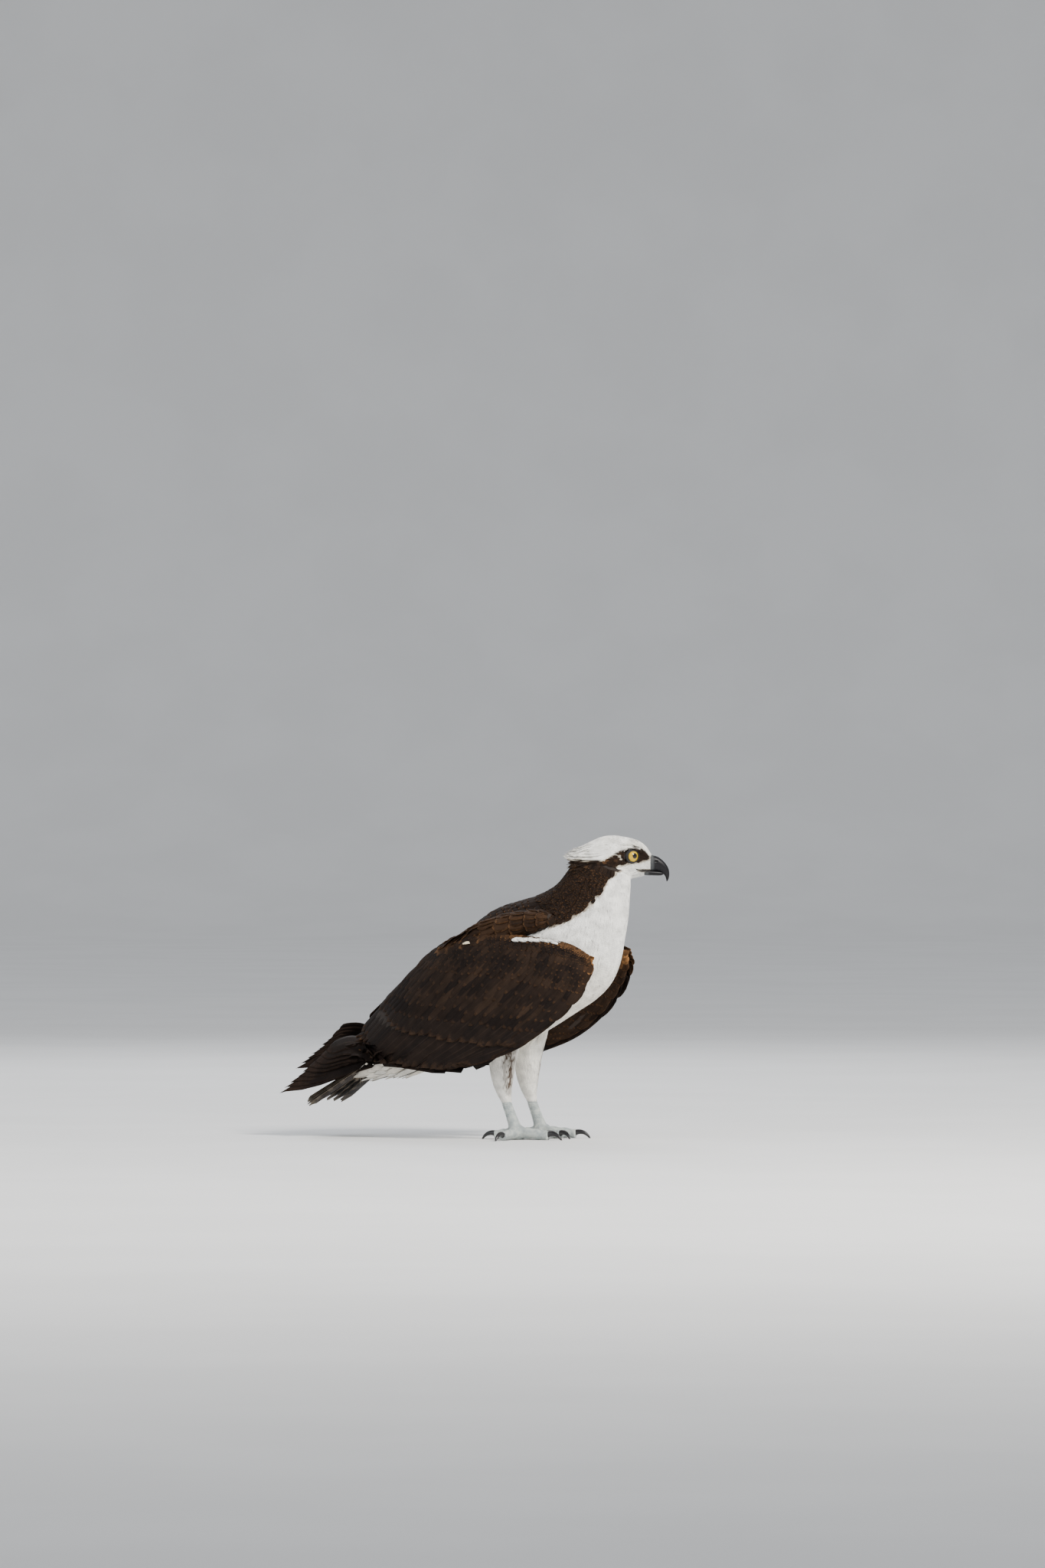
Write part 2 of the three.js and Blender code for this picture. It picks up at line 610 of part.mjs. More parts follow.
// A toe runs out from under the shank and dips to the ground. Its claw springs from the end and curls down.
function toePath(toe) {
  const heading = degrees(toe.headingDegrees);
  const along = vec(Math.cos(heading), Math.sin(heading), 0);
  const rise = (t) => TOE.lift + 3.4 * (1 - t) ** 2 + 1.1 * Math.sin(Math.PI * t);
  return (t) => vec(FOOT.x, FOOT.y, rise(t)).addScaledVector(along, t * toe.length);
}

function toeSolid(toe) {
  const knuckles = (t) => TOE.radius * (1.12 - 0.22 * t) * (1 + 0.07 * Math.cos(t * 6 * Math.PI));
  return solid(limb(toePath(toe), knuckles, { steps: 5, around: 7 }));
}

function clawSolid(toe, grow = 0) {
  const root = toePath(toe)(1);
  const along = toePath(toe)(1).sub(toePath(toe)(0)).setZ(0).normalize();
  const rise = degrees(CLAW.riseDegrees);
  const sweep = degrees(CLAW.sweepDegrees);
  const path = (t) => {
    const angle = rise - t * sweep;
    return root
      .clone()
      .addScaledVector(along, CLAW.bend * (Math.sin(rise) - Math.sin(angle)) - 1.5)
      .add(vec(0, 0, CLAW.bend * (Math.cos(angle) - Math.cos(rise)) + 1.2));
  };
  return solid(limb(path, (t) => CLAW.radius * (1 - t) ** 0.7 + 0.35 + grow, { steps: 4, around: 6 }));
}

function footSolids() {
  const ground = boxSolid(400, 400, 60, new THREE.Matrix4().setPosition(0, 0, -30));
  const ball = new THREE.SphereGeometry(1, 10, 6).scale(FOOT.palm, FOOT.palm, FOOT.deep);
  const palm = solid(ball.translate(FOOT.x, FOOT.y, FOOT.z));
  const lower = solid(legLoft(SHANK, { steps: 6, around: 12 }));
  const whole = joinAll([palm, lower, ...TOES.map(toeSolid)]).subtract(ground);
  const claws = TOES.map((toe) => clawSolid(toe).subtract(ground));
  const socketed = TOES.reduce((body, toe) => body.subtract(clawSolid(toe, GAP)), whole);
  return { foot: before(socketed, CUTS.ankle), shank: beyond(socketed, CUTS.ankle), claws };
}

// Assembly

const paint = (color, roughness) => new THREE.MeshStandardMaterial({ color, roughness, metalness: 0 });
const FINISH = {
  white: paint(0xe8e5dc, 0.9),
  dark: paint(0x2b1e18, 0.85),
  horn: paint(0x17171b, 0.35),
  eye: paint(0xe8b400, 0.1),
  skin: paint(0xbfc0b2, 0.6),
};

const bird = new THREE.Group();
bird.position.copy(ORIGIN_SHIFT);

function addNode(name, body, finish) {
  const mesh = new THREE.Mesh(geometryOf(largest(body)), finish);
  mesh.name = name;
  bird.add(mesh);
}

function build() {
  const bodyGrown = solid(spineLoft(BODY, { steps: 26, around: 24, grow: GAP }));
  const trunk = solid(spineLoft(BODY, { steps: 26, around: 24 }));
  const head = headSolid().transform(headMatrix.elements);
  const socketOf = (side) => eyeball(side, EYE.radius + GAP).transform(headMatrix.elements);
  const sockets = [RIGHT, LEFT].map(socketOf);
  const whole = sockets.reduce((body, socket) => body.subtract(socket), trunk.add(head));
  const headPart = beyond(whole, CUTS.throat);
  const neck = beyond(before(whole, CUTS.throat), CUTS.breast);
  const torso = beyond(before(whole, CUTS.breast), CUTS.rump);
  const rump = before(whole, CUTS.rump);
  addNode("head", headPart, FINISH.white);
  addNode("neck", neck, FINISH.white);
  addNode("torso", torso, FINISH.white);

  const upper = upperBill();
  addNode("bill_upper", upper.transform(headMatrix.elements), FINISH.horn);
  const wider = UPPER_BILL.map((s) => ({ ...s, down: s.down + GAP, half: s.half + 2 }));
  const bitten = solid(spineLoft(wider, { steps: 12, around: 14 }));
  addNode("bill_lower", lowerBill(bitten).transform(headMatrix.elements), FINISH.horn);
  addNode("eye_right", eyeball(RIGHT, EYE.radius).transform(headMatrix.elements), FINISH.eye);
  addNode("eye_left", eyeball(LEFT, EYE.radius).transform(headMatrix.elements), FINISH.eye);

  addNode("tail", before(joinAll([rump, ...tailFeathers()]), CUTS.rump), FINISH.dark);

  for (const side of [RIGHT, LEFT]) {
    const word = side === RIGHT ? "right" : "left";
    addNode("wing_" + word, wingSolid(side).subtract(bodyGrown), FINISH.dark);
    const ahead = side === LEFT ? FOOT.leftAhead : 0;
    const place = (body) => (side === RIGHT ? body : body.mirror([0, 1, 0]).translate([ahead, 0, 0]));
    const { foot, shank, claws } = footSolids();
    const wide = SHANK.map((s) => ({ ...s, fore: s.fore + GAP, side: s.side + GAP }));
    const shankGrown = solid(legLoft(wide, { steps: 8, around: 14 }));
    const thigh = solid(legLoft(THIGH, { steps: 9, around: 16 })).subtract(shankGrown);
    addNode("thigh_" + word, place(thigh).subtract(bodyGrown), FINISH.white);
    addNode("shank_" + word, place(shank), FINISH.skin);
    addNode("foot_" + word, place(foot), FINISH.skin);
    TOES.forEach((toe, n) => addNode(`claw_${word}_${toe.name}`, place(claws[n]), FINISH.horn));
  }
}

build();

export default bird;
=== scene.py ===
# A life-size osprey standing, dressed over its solids: skin, feathers, bill, eyes, scaled feet and claws.
# Lengths are millimetres in the solids' own frame.
# new_mesh turns them into metres and moves them to the frame's origin.
import math
import bpy
import numpy as np
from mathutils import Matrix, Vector
from mathutils.bvhtree import BVHTree


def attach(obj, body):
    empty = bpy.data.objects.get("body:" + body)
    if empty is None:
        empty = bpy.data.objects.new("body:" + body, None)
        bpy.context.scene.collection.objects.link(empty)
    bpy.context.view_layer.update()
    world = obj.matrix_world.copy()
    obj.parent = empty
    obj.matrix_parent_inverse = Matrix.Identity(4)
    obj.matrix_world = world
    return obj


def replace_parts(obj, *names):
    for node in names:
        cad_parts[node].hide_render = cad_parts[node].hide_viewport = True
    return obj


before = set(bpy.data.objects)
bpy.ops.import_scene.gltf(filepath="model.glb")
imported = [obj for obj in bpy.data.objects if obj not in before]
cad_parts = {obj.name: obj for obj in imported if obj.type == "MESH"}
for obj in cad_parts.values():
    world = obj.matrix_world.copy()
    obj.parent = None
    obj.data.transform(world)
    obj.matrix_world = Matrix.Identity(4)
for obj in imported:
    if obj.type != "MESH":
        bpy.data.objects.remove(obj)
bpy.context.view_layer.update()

MM = 0.001
SHIFT = np.array([6.5, 0.0, 0.0])
RIGHT = -1
LEFT = 1
WORDS = {RIGHT: "right", LEFT: "left"}

# Driving sizes, the same as the solids'

# Neck, trunk and tail root: centre x and z, reach towards the back and the belly, half width.
BODY = np.array([
    [170, 341, 34, 31, 26],
    [160, 318, 43, 42, 32],
    [141, 285, 50, 61, 39],
    [112, 248, 71, 83, 50],
    [72, 213, 88, 78, 58],
    [20, 178, 84, 71, 58],
    [-35, 150, 70, 56, 48],
    [-84, 127, 50, 46, 36],
    [-124, 104, 30, 27, 26],
    [-152, 86, 10, 9, 16],
], float)

# The head along its own axis from the point between the eyes: x, top, bottom, half width.
HEAD = np.array([
    [-60, 6, -20, 17],
    [-52, 16, -28, 23],
    [-38, 24, -31, 26.5],
    [-22, 26.5, -31, 26],
    [-8, 24.5, -29, 23.5],
    [5, 21.5, -28, 19.5],
    [15, 16, -25.5, 15],
    [21.5, 8.5, -22, 10.4],
    [25.5, 0.8, -18, 7.2],
], float)
HEAD_PLACE = np.array([195.0, 14.0, 351.0])
HEAD_YAW = math.radians(20)

# The feathered thigh and the bare shank of the right leg: centre, half length fore and aft, half width.
THIGH = np.array([
    [40, -28, 168, 34, 22],
    [42, -31, 132, 27, 21],
    [42.5, -32, 104, 19, 17.5],
    [42, -32, 80, 15.5, 14.5],
    [43.5, -32, 62, 11.5, 10.8],
    [46.5, -32, 50, 8.4, 8],
    [49, -32, 44, 7, 6.6],
], float)
SHANK = np.array([
    [46, -32, 52, 6.4, 6],
    [50, -32, 40, 6.6, 6],
    [54.5, -32, 28, 7, 6.4],
    [58.5, -32, 17, 8.4, 8],
    [61, -32, 8, 10.5, 10.5],
], float)
LEFT_LEG_AHEAD = 10

# The four edges of the right wing's outer face, and how far it swells between them.
WING_TOP = [[170, -76, 230], [146, -66, 243], [84, -55, 253], [20, -42, 257], [-28, -22, 249]]
WING_FRONT = [[170, -76, 230], [174, -77, 210], [150, -86, 169], [95, -98, 125], [15, -92, 97]]
WING_BACK = [[-28, -22, 249], [-69, -11, 225], [-123, -8, 171], [-160, -12, 128]]
WING_TIPS = [[15, -92, 97], [-30, -78, 87], [-88, -66, 91], [-135, -46, 100], [-160, -12, 128]]
WING_BULGE = 27
WING_TIP_LOW = np.array([-253.0, -34.0, 58.0])
WING_TIP_HIGH = np.array([-196.0, -20.0, 108.0])
LEFT_WING_LIFT = 5
LEFT_TIP_LIFT = 24

SHOULDER_AT = np.array([52.0, -36.0, 261.0])
SHOULDER_SIZE = np.array([74.0, 21.0, 19.0])
SHOULDER_RISE = math.radians(12)
SHOULDER_CLOSE = math.radians(10)

EYE_AT = np.array([-1.0, 14.4, 0.0])
EYE_RADIUS = 9.4
EYE_FORWARD = math.radians(30)
EYE_DOWN = math.radians(3)

BROW_AT = np.array([4.0, 17.2, 9.6])
BROW_SIZE = np.array([13.0, 4.2, 3.2])
BROW_CLOSE = math.radians(20)
BROW_FALL = math.radians(8)

# The bill from its tip back into the face: x, z, reach up and down, half width.
UPPER_BILL = np.array([
    [44.1, -31.4, 0.5, 0.5, 0.4],
    [44.7, -28, 1.6, 1.7, 1.4],
    [44.3, -23.5, 3, 3, 2.5],
    [42.2, -18, 4.6, 5.2, 3.9],
    [38, -13, 6, 7.4, 5.2],
    [32, -9.6, 7.9, 9.3, 6.5],
    [26, -7.6, 8.6, 10.9, 7.6],
    [16, -6.5, 8.6, 11.5, 8.4],
], float)
LOWER_BILL = np.array([
    [40.2, -21.8, 0.8, 0.8, 1.3],
    [37, -21.6, 2.4, 2.6, 3.1],
    [30, -21, 3.0, 3.4, 5],
    [20, -20.2, 3.2, 3.8, 6.8],
    [8, -19.4, 3.0, 3.2, 8],
], float)

FOOT = np.array([62.0, -32.0, 8.6])
PALM = np.array([12.0, 12.0, 10.0])
TOE_RADIUS = 6.2
TOE_LIFT = 5.6
TOES = {"1": (176, 30), "2": (32, 37), "3": (-6, 43), "4": (-98, 40)}
CLAW_RADIUS = 3.7
CLAW_BEND = 14.5
CLAW_SWEEP = math.radians(104)
CLAW_RISE = math.radians(24)

TAIL_HUB = np.array([-55.0, 0.0, 156.0])
TAIL_DROP = math.radians(35)
TAIL = {"feathers": 12, "reach": 202.0, "spread": math.radians(16), "half": 14.0, "step": 0.6}

# Depth of the coat over the skin
COAT = 2.4
HEAD_COAT = 1.6
THIGH_COAT = 1.6

# Feather colours
WHITE = np.array([0.86, 0.855, 0.82])
CREAM = np.array([0.72, 0.62, 0.45])
DARK = np.array([0.009, 0.006, 0.005])
BROWN = np.array([0.030, 0.0175, 0.011])
RUFOUS = np.array([0.150, 0.073, 0.031])
ORANGE = np.array([0.400, 0.190, 0.070])
GREY = np.array([0.40, 0.38, 0.34])

rng = np.random.default_rng(7)


# Curves and lofts

def hermite(f, start, rise, leave, arrive):
    """The cubic from start over rise, by its slopes at both ends."""
    return start + f * leave + f**2 * (3 * rise - 2 * leave - arrive) + f**3 * (leave + arrive - 2 * rise)


def sample(table, t):
    """Section sizes at shares t of the way along a table, on smooth curves."""
    last = len(table) - 1
    t = np.clip(np.atleast_1d(np.asarray(t, float)), 0, 1)
    i = np.clip((t * last).astype(int), 0, last - 1)
    f = (t * last - i)[:, None]
    def at(n):
        return table[np.clip(n, 0, last)]
    slope_in = (at(i + 1) - at(i - 1)) / 2
    slope_out = (at(i + 2) - at(i)) / 2
    rise = at(i + 1) - at(i)
    return hermite(f, at(i), rise, slope_in, slope_out)


def curve(points, t):
    """A centripetal curve through points, at shares t of its stretches."""
    p = np.array(points, float)
    p = np.vstack([2 * p[0] - p[1], p, 2 * p[-1] - p[-2]])
    last = len(p) - 3
    t = np.atleast_1d(np.asarray(t, float))
    i = np.clip(np.floor(t * last).astype(int), 0, last - 1)
    f = (t * last - i)[..., None]
    p0, p1, p2, p3 = p[i], p[i + 1], p[i + 2], p[i + 3]
    gaps = [np.sqrt(np.linalg.norm(b - a, axis=-1, keepdims=True)) for a, b in ((p0, p1), (p1, p2), (p2, p3))]
    leave = ((p1 - p0) / gaps[0] - (p2 - p0) / (gaps[0] + gaps[1]) + (p2 - p1) / gaps[1]) * gaps[1]
    arrive = ((p2 - p1) / gaps[1] - (p3 - p1) / (gaps[1] + gaps[2]) + (p3 - p2) / gaps[2]) * gaps[1]
    rise = p2 - p1
    return hermite(f, p1, rise, leave, arrive)


def unit(v):
    return v / np.maximum(np.linalg.norm(v, axis=-1, keepdims=True), 1e-9)


def square_to(v, axis):
    """The direction of what is left of v across the unit vectors in axis."""
    return unit(v - (v * axis).sum(axis=-1, keepdims=True) * axis)


def circle(count):
    return np.arange(count) * 2 * np.pi / count


def turned(p, i, j, angle):
    """Points turned from axis i towards axis j."""
    c, s = math.cos(angle), math.sin(angle)
    q = p.copy()
    q[..., i] = p[..., i] * c - p[..., j] * s
    q[..., j] = p[..., i] * s + p[..., j] * c
    return q


def mirrored(v, side):
    """Directions of the right side, mirrored for the left."""
    return v * np.array([1.0, -side, 1.0])


def unit_ball(rows, columns, margin, order):
    """Points of a ball in rings about its first coordinate, which order then puts in its place."""
    polar = np.repeat(np.linspace(margin, np.pi - margin, rows), columns)
    turn = np.tile(circle(columns), rows)
    ball = np.stack([np.cos(polar), np.sin(polar) * np.cos(turn), np.sin(polar) * np.sin(turn)], axis=1)
    return ball[:, order]


def spine(table, t, angle, grow=0.0):
    """A body whose sections stand square to a line in the middle plane."""
    t = np.asarray(t, float)
    s = sample(table, t)
    along = unit(sample(table, t + 0.03)[:, :2] - sample(table, t - 0.03)[:, :2])
    back = np.stack([along[:, 1], np.zeros(len(s)), -along[:, 0]], axis=1)
    lift = np.sin(angle)
    reach = np.where(lift > 0, s[:, 2], s[:, 3]) + grow
    centre = np.stack([s[:, 0], np.zeros(len(s)), s[:, 1]], axis=1)
    aside = np.stack([np.zeros(len(s)), np.cos(angle) * (s[:, 4] + grow), np.zeros(len(s))], axis=1)
    return centre + back * (lift * reach)[:, None] + aside


def trunk(t, angle, grow=0.0):
    return spine(BODY, t, angle, grow)


def from_head(p):
    """Points of the head's own frame, placed on the neck."""
    return turned(p, 0, 1, HEAD_YAW) + HEAD_PLACE


def into_head(p):
    return turned(p - HEAD_PLACE, 0, 1, -HEAD_YAW)


def head(t, angle, grow=0.0):
    s = sample(HEAD, t)
    middle = (s[:, 1] + s[:, 2]) / 2
    height = (s[:, 1] - s[:, 2]) / 2 + grow
    local = np.stack([s[:, 0], -np.cos(angle) * (s[:, 3] + grow), middle + np.sin(angle) * height], axis=1)
    return from_head(local)


def leg(table, side):
    def loft(t, angle, grow=0.0):
        s = sample(table, t)
        x = s[:, 0] + np.cos(angle) * (s[:, 3] + grow) + (LEFT_LEG_AHEAD if side == LEFT else 0)
        y = s[:, 1] - np.sin(angle) * (s[:, 4] + grow)
        return np.stack([x, -side * y, s[:, 2]], axis=1)
    return loft


def wing_face(u, w):
    """The right wing's outer face: u back along the forearm, w down to the tips of the secondaries."""
    u, w = np.broadcast_arrays(np.asarray(u, float), np.asarray(w, float))
    shape = u.shape
    u = u.ravel()
    w = w.ravel()
    a, b = u[:, None], w[:, None]
    top, tips = curve(WING_TOP, [0, 1]), curve(WING_TIPS, [0, 1])
    p = curve(WING_TOP, u) * (1 - b) + curve(WING_TIPS, u) * b
    p = p + curve(WING_FRONT, w) * (1 - a) + curve(WING_BACK, w) * a
    p = p - top[0] * (1 - a) * (1 - b) - top[1] * a * (1 - b)
    p = p - tips[0] * (1 - a) * b - tips[1] * a * b
    swell = np.maximum(np.sin(np.pi * np.clip(u, 0, 1)) * np.sin(np.pi * np.clip(w, 0, 1)), 0) ** 0.8
    p = p + WING_BULGE * swell[:, None] * np.array([0, -0.95, 0.3])
    return p.reshape(shape + (3,))


def outward(face, u, w):
    step = 0.02
    u, w = np.broadcast_arrays(np.asarray(u, float), np.asarray(w, float))
    u = np.clip(u, step, 1 - step)
    w = np.clip(w, step, 1 - step)
    out = unit(np.cross(face(u, w + step) - face(u, w - step), face(u + step, w) - face(u - step, w)))
    return np.where(out[..., 1:2] > 0, -out, out)


def to_left(p):
    back = np.clip((-p[..., 0] - 90) / (256 - 90), 0, 1)
    lift = LEFT_WING_LIFT + LEFT_TIP_LIFT * back**2 * (3 - 2 * back)
    return np.stack([p[..., 0], -p[..., 1], p[..., 2] + lift], axis=-1)


def place_wing(p, side):
    return p if side == RIGHT else to_left(p)


def shoulder(ball):
    """Points of a unit ball, stretched and turned into the right shoulder."""
    return turned(turned(ball * SHOULDER_SIZE, 0, 2, SHOULDER_RISE), 0, 1, -SHOULDER_CLOSE) + SHOULDER_AT


# Meshes

def new_mesh(name, points, faces, smooth=True):
    """A mesh from millimetre points and a list of faces or an array of them."""
    mesh = bpy.data.meshes.new(name)
    points = np.asarray(points, float)
    mesh.vertices.add(len(points))
    mesh.vertices.foreach_set("co", ((points + SHIFT) * MM).ravel())
    groups = [np.asarray(f, np.int32) for f in (faces if isinstance(faces, list) else [faces])]
    loops = np.concatenate([g.ravel() for g in groups])
    sizes = np.concatenate([np.full(len(g), g.shape[1]) for g in groups])
    starts = np.concatenate([[0], np.cumsum(sizes)[:-1]]).astype(np.int32)
    mesh.loops.add(len(loops))
    mesh.loops.foreach_set("vertex_index", loops)
    mesh.polygons.add(len(sizes))
    mesh.polygons.foreach_set("loop_start", starts)
    mesh.polygons.foreach_set("use_smooth", np.full(len(sizes), smooth))
    mesh.update(calc_edges=True)
    mesh.validate()
    return mesh


def link(name, data):
    made = bpy.data.objects.new(name, data)
    bpy.context.collection.objects.link(made)
    return made


def add_object(name, mesh, material, body="root"):
    piece = link(name, mesh)
    mesh.materials.append(material)
    if body:
        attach(piece, body)
    return piece


def store(mesh, label, rows):
    """Keeps a vector at each vertex for a material to read."""
    mesh.attributes.new(label, "FLOAT_VECTOR", "POINT").data.foreach_set("vector", rows.ravel())


def store_colour(mesh, label, rows):
    rgba = np.hstack([rows, np.ones((len(rows), 1))]).ravel()
    mesh.attributes.new(label, "FLOAT_COLOR", "POINT").data.foreach_set("color", rgba)


def grid_faces(rows, columns, around=True, first=0):
    """Quads over a grid of points, closed round each row if around."""
    i, j = np.meshgrid(np.arange(rows - 1), np.arange(columns if around else columns - 1), indexing="ij")
    a = i * columns + j
    b = i * columns + (j + 1) % columns
    return first + np.stack([a, b, b + columns, a + columns], axis=-1).reshape(-1, 4)


def closed_tube(rings):
    """Points and faces of a stack of rings with flat ends."""
    rows, columns = rings.shape[:2]
    points = rings.reshape(-1, 3)
    ends = np.vstack([rings[0].mean(axis=0), rings[-1].mean(axis=0)])
    around = np.arange(columns)
    after = (around + 1) % columns
    top = rows * columns
    start_fan = np.stack([np.full(columns, top), after, around], axis=1)
    last = (rows - 1) * columns
    end_fan = np.stack([np.full(columns, top + 1), last + around, last + after], axis=1)
    return np.vstack([points, ends]), [grid_faces(rows, columns), start_fan, end_fan]


def joined(parts):
    """Points and faces of several parts as one."""
    points = []
    faces = []
    first = 0
    for p, groups in parts:
        points.append(p)
        faces += [np.asarray(g) + first for g in groups]
        first += len(p)
    return np.vstack(points), faces


def mesh_points(mesh):
    co = np.empty(len(mesh.vertices) * 3)
    mesh.vertices.foreach_get("co", co)
    return co.reshape(-1, 3) / MM - SHIFT


def tree_of(mesh):
    return BVHTree.FromPolygons(mesh_points(mesh).tolist(), [tuple(f.vertices) for f in mesh.polygons])


def grown_together(name, parts, voxel, rounds, mend):
    """Closed parts as one smooth skin. mend has the last word on its points."""
    rough = link(name, new_mesh(name, *parts))
    remesh = rough.modifiers.new("remesh", "REMESH")
    remesh.mode = "VOXEL"
    remesh.voxel_size = voxel
    smooth = rough.modifiers.new("smooth", "SMOOTH")
    smooth.factor = 0.5
    smooth.iterations = rounds
    graph = bpy.context.evaluated_depsgraph_get()
    mesh = bpy.data.meshes.new_from_object(rough.evaluated_get(graph))
    bpy.data.objects.remove(rough)
    mesh.vertices.foreach_set("co", ((mend(mesh_points(mesh)) + SHIFT) * MM).ravel())
    mesh.polygons.foreach_set("use_smooth", np.full(len(mesh.polygons), True))
    mesh.update()
    return mesh


# Skin

def loft_rings(loft, rows, columns, grow):
    t = np.repeat(np.linspace(0, 1, rows), columns)
    return loft(t, np.tile(circle(columns), rows), grow).reshape(rows, columns, 3)


def wing_depth(w):
    """How thick the wing's flesh is under its outer face."""
    return (11 + (4 - 11) * np.clip(w * 1.25, 0, 1))[..., None]


def wing_slab(side):
    """The wing's flesh as a slab just under its outer face."""
    u = np.linspace(0.02, 0.98, 40)
    w = np.linspace(0.02, 0.82, 30)
    uu, ww = np.meshgrid(u, w, indexing="ij")
    out = outward(wing_face, uu, ww)
    outer = wing_face(uu, ww) - out * 0.8
    inner = wing_face(uu, ww) - out * wing_depth(ww)
    rings = np.concatenate([outer, inner[:, ::-1]], axis=1)
    return closed_tube(place_wing(rings, side))


def shoulder_ball(side, grow):
    ball = unit_ball(24, 32, 0.02, [0, 1, 2]) * grow
    return closed_tube(place_wing(shoulder(ball), side).reshape(24, 32, 3))


def eye_centre(side):
    return from_head(EYE_AT * np.array([1, side, 1]))


def eye_aim(side):
    aim = np.array([
        math.sin(EYE_FORWARD),
        side * math.cos(EYE_FORWARD) * math.cos(EYE_DOWN),
        -math.sin(EYE_DOWN),
    ])
    return unit(from_head(aim) - HEAD_PLACE)


def about_eye(points, side):
    """How far points lie off the line along which an eye looks, and how far along it."""
    aim = eye_aim(side)
    rel = points - eye_centre(side)
    ahead = rel @ aim
    return rel - ahead[:, None] * aim, ahead


def socket(points):
    """Presses the skin in behind each eyeball."""
    deep = EYE_RADIUS + 0.5
    for side in (RIGHT, LEFT):
        inside = np.linalg.norm(points - eye_centre(side), axis=1) < deep
        aside, _ = about_eye(points, side)
        depth = -np.sqrt(np.maximum(deep**2 - (aside**2).sum(axis=1), 0))
        points[inside] = (eye_centre(side) + aside + depth[:, None] * eye_aim(side))[inside]
    return points


def brow(side):
    """The bony ridge that shades the eye."""
    ball = unit_ball(16, 24, 0.05, [0, 1, 2]) * (BROW_SIZE - 1.2)
    ball = turned(turned(ball, 0, 1, -side * BROW_CLOSE), 0, 2, -BROW_FALL)
    return closed_tube(from_head(ball + BROW_AT * np.array([1, side, 1])).reshape(16, 24, 3))


PARTS = {
    "trunk": closed_tube(loft_rings(trunk, 80, 64, -COAT)),
    "head": closed_tube(loft_rings(head, 48, 48, -HEAD_COAT)),
    "thigh_right": closed_tube(loft_rings(leg(THIGH, RIGHT), 40, 32, -THIGH_COAT)),
    "thigh_left": closed_tube(loft_rings(leg(THIGH, LEFT), 40, 32, -THIGH_COAT)),
    "wing_right": wing_slab(RIGHT),
    "wing_left": wing_slab(LEFT),
    "shoulder_right": shoulder_ball(RIGHT, 0.9),
    "shoulder_left": shoulder_ball(LEFT, 0.9),
    "brow_right": brow(RIGHT),
    "brow_left": brow(LEFT),
}


skin_mesh = grown_together("rough_skin", joined(PARTS.values()), 0.0025, 6, socket)
skin_tree = tree_of(skin_mesh)


def nearest(tree, points):
    """The nearest places on a surface, their outward directions and how far off they are."""
    place = np.empty_like(points)
    out = np.empty_like(points)
    away = np.empty(len(points))
    for i, p in enumerate(points.tolist()):
        place[i], out[i], _, away[i] = tree.find_nearest(p)
    return place, out, away


# Markings, and painted shade low on the trunk

def step(low, high, x):
    s = np.clip((x - low) / (high - low), 0, 1)
    return s * s * (3 - 2 * s)


def mix(a, b, share):
    share = np.asarray(share)[..., None]
    return a * (1 - share) + b * share


def ripple(p, size, seed=0.0):
    """A smooth pseudo-random value from -1 to 1 over space."""
    q = p / size + seed
    a = np.sin(q[..., 0] * 2.1 + 1.3 * np.sin(q[..., 1] * 1.7 + seed))
    b = np.sin(q[..., 1] * 2.7 + 1.1 * np.sin(q[..., 2] * 2.3))
    c = np.sin(q[..., 2] * 1.9 + 1.5 * np.sin(q[..., 0] * 2.9))
    return (a + b + c) / 3


# The dark band through the eye in the head's side view, from nape to lore: x and the height of its border.
BAND_UPPER = np.array([
    [-82, -4], [-58, -4], [-36, -5.5], [-25, 0.5], [-12, 7.5], [0, 10], [9, 9.5], [17, 7], [22, 1], [27, -2],
], float)
BAND_LOWER = np.array([
    [-82, -84], [-58, -65], [-44, -48], [-31, -28.5], [-16, -13.5], [-6, -10.5], [6, -9.5], [17, -7],
    [22, -4], [27, -3],
], float)

# Where the dark of the hind neck and back ends: the border's x for each height.
BACK_BORDER = np.array([
    [110, -160], [130, -135], [160, -100], [200, -60], [235, -20], [252, 40], [258, 92],
    [271, 133], [287, 154], [303, 167], [322, 179], [333, 190], [345, 203],
], float)


def head_dark(p):
    """How dark the plumage is, from 0 to 1, at points of the head."""
    x, _, z = np.moveaxis(into_head(p), -1, 0)
    wavy = z + 1.2 * ripple(p, 5)
    upper = np.interp(x, BAND_UPPER[:, 0], BAND_UPPER[:, 1])
    lower = np.interp(x, BAND_LOWER[:, 0], BAND_LOWER[:, 1])
    dark = step(-1.4, 1.4, upper - wavy) * step(-1.6, 1.6, wavy - lower)
    dark = dark * step(26, 21, x)
    fleck = step(-1.5, 1.0, x - 1) * step(11, 8, x) * step(1.9, 0.7, np.abs(z - (13.5 - 0.55 * x)))
    crown = step(0.55, 0.85, ripple(p, 3.2, 4)) * step(-6, 6, x) * step(22, 14, x) * step(15, 18, z) * 0.7
    pale = step(1.5, 0.5, np.abs(x + 13.5 + 0.5 * (z + 3))) * step(4.2, 2.8, np.abs(z + 2.6))
    gape = step(6, 13, x) * step(2.3, 1.1, np.abs(z + 17.9))
    dark = np.maximum(np.maximum(dark, fleck * 0.9), np.maximum(crown, gape)) * (1 - 0.35 * pale)
    return np.clip(dark, 0, 1)


def head_colour(p, jitter):
    dark = head_dark(p)
    q = into_head(p)
    ear = step(0.1, 0.7, ripple(p, 6, 2)) * step(-12, -24, q[..., 0])
    tone = mix(mix(DARK, BROWN, np.clip(jitter * 0.5 + 0.5, 0, 1)), RUFOUS, ear * 0.45)
    edge = 4 * dark * (1 - dark)
    white = mix(WHITE, CREAM, 0.12 + 0.12 * ripple(p, 18, 1))
    return mix(mix(white, tone, dark), CREAM * 0.7, edge * step(6, -2, q[..., 2]) * 0.55)


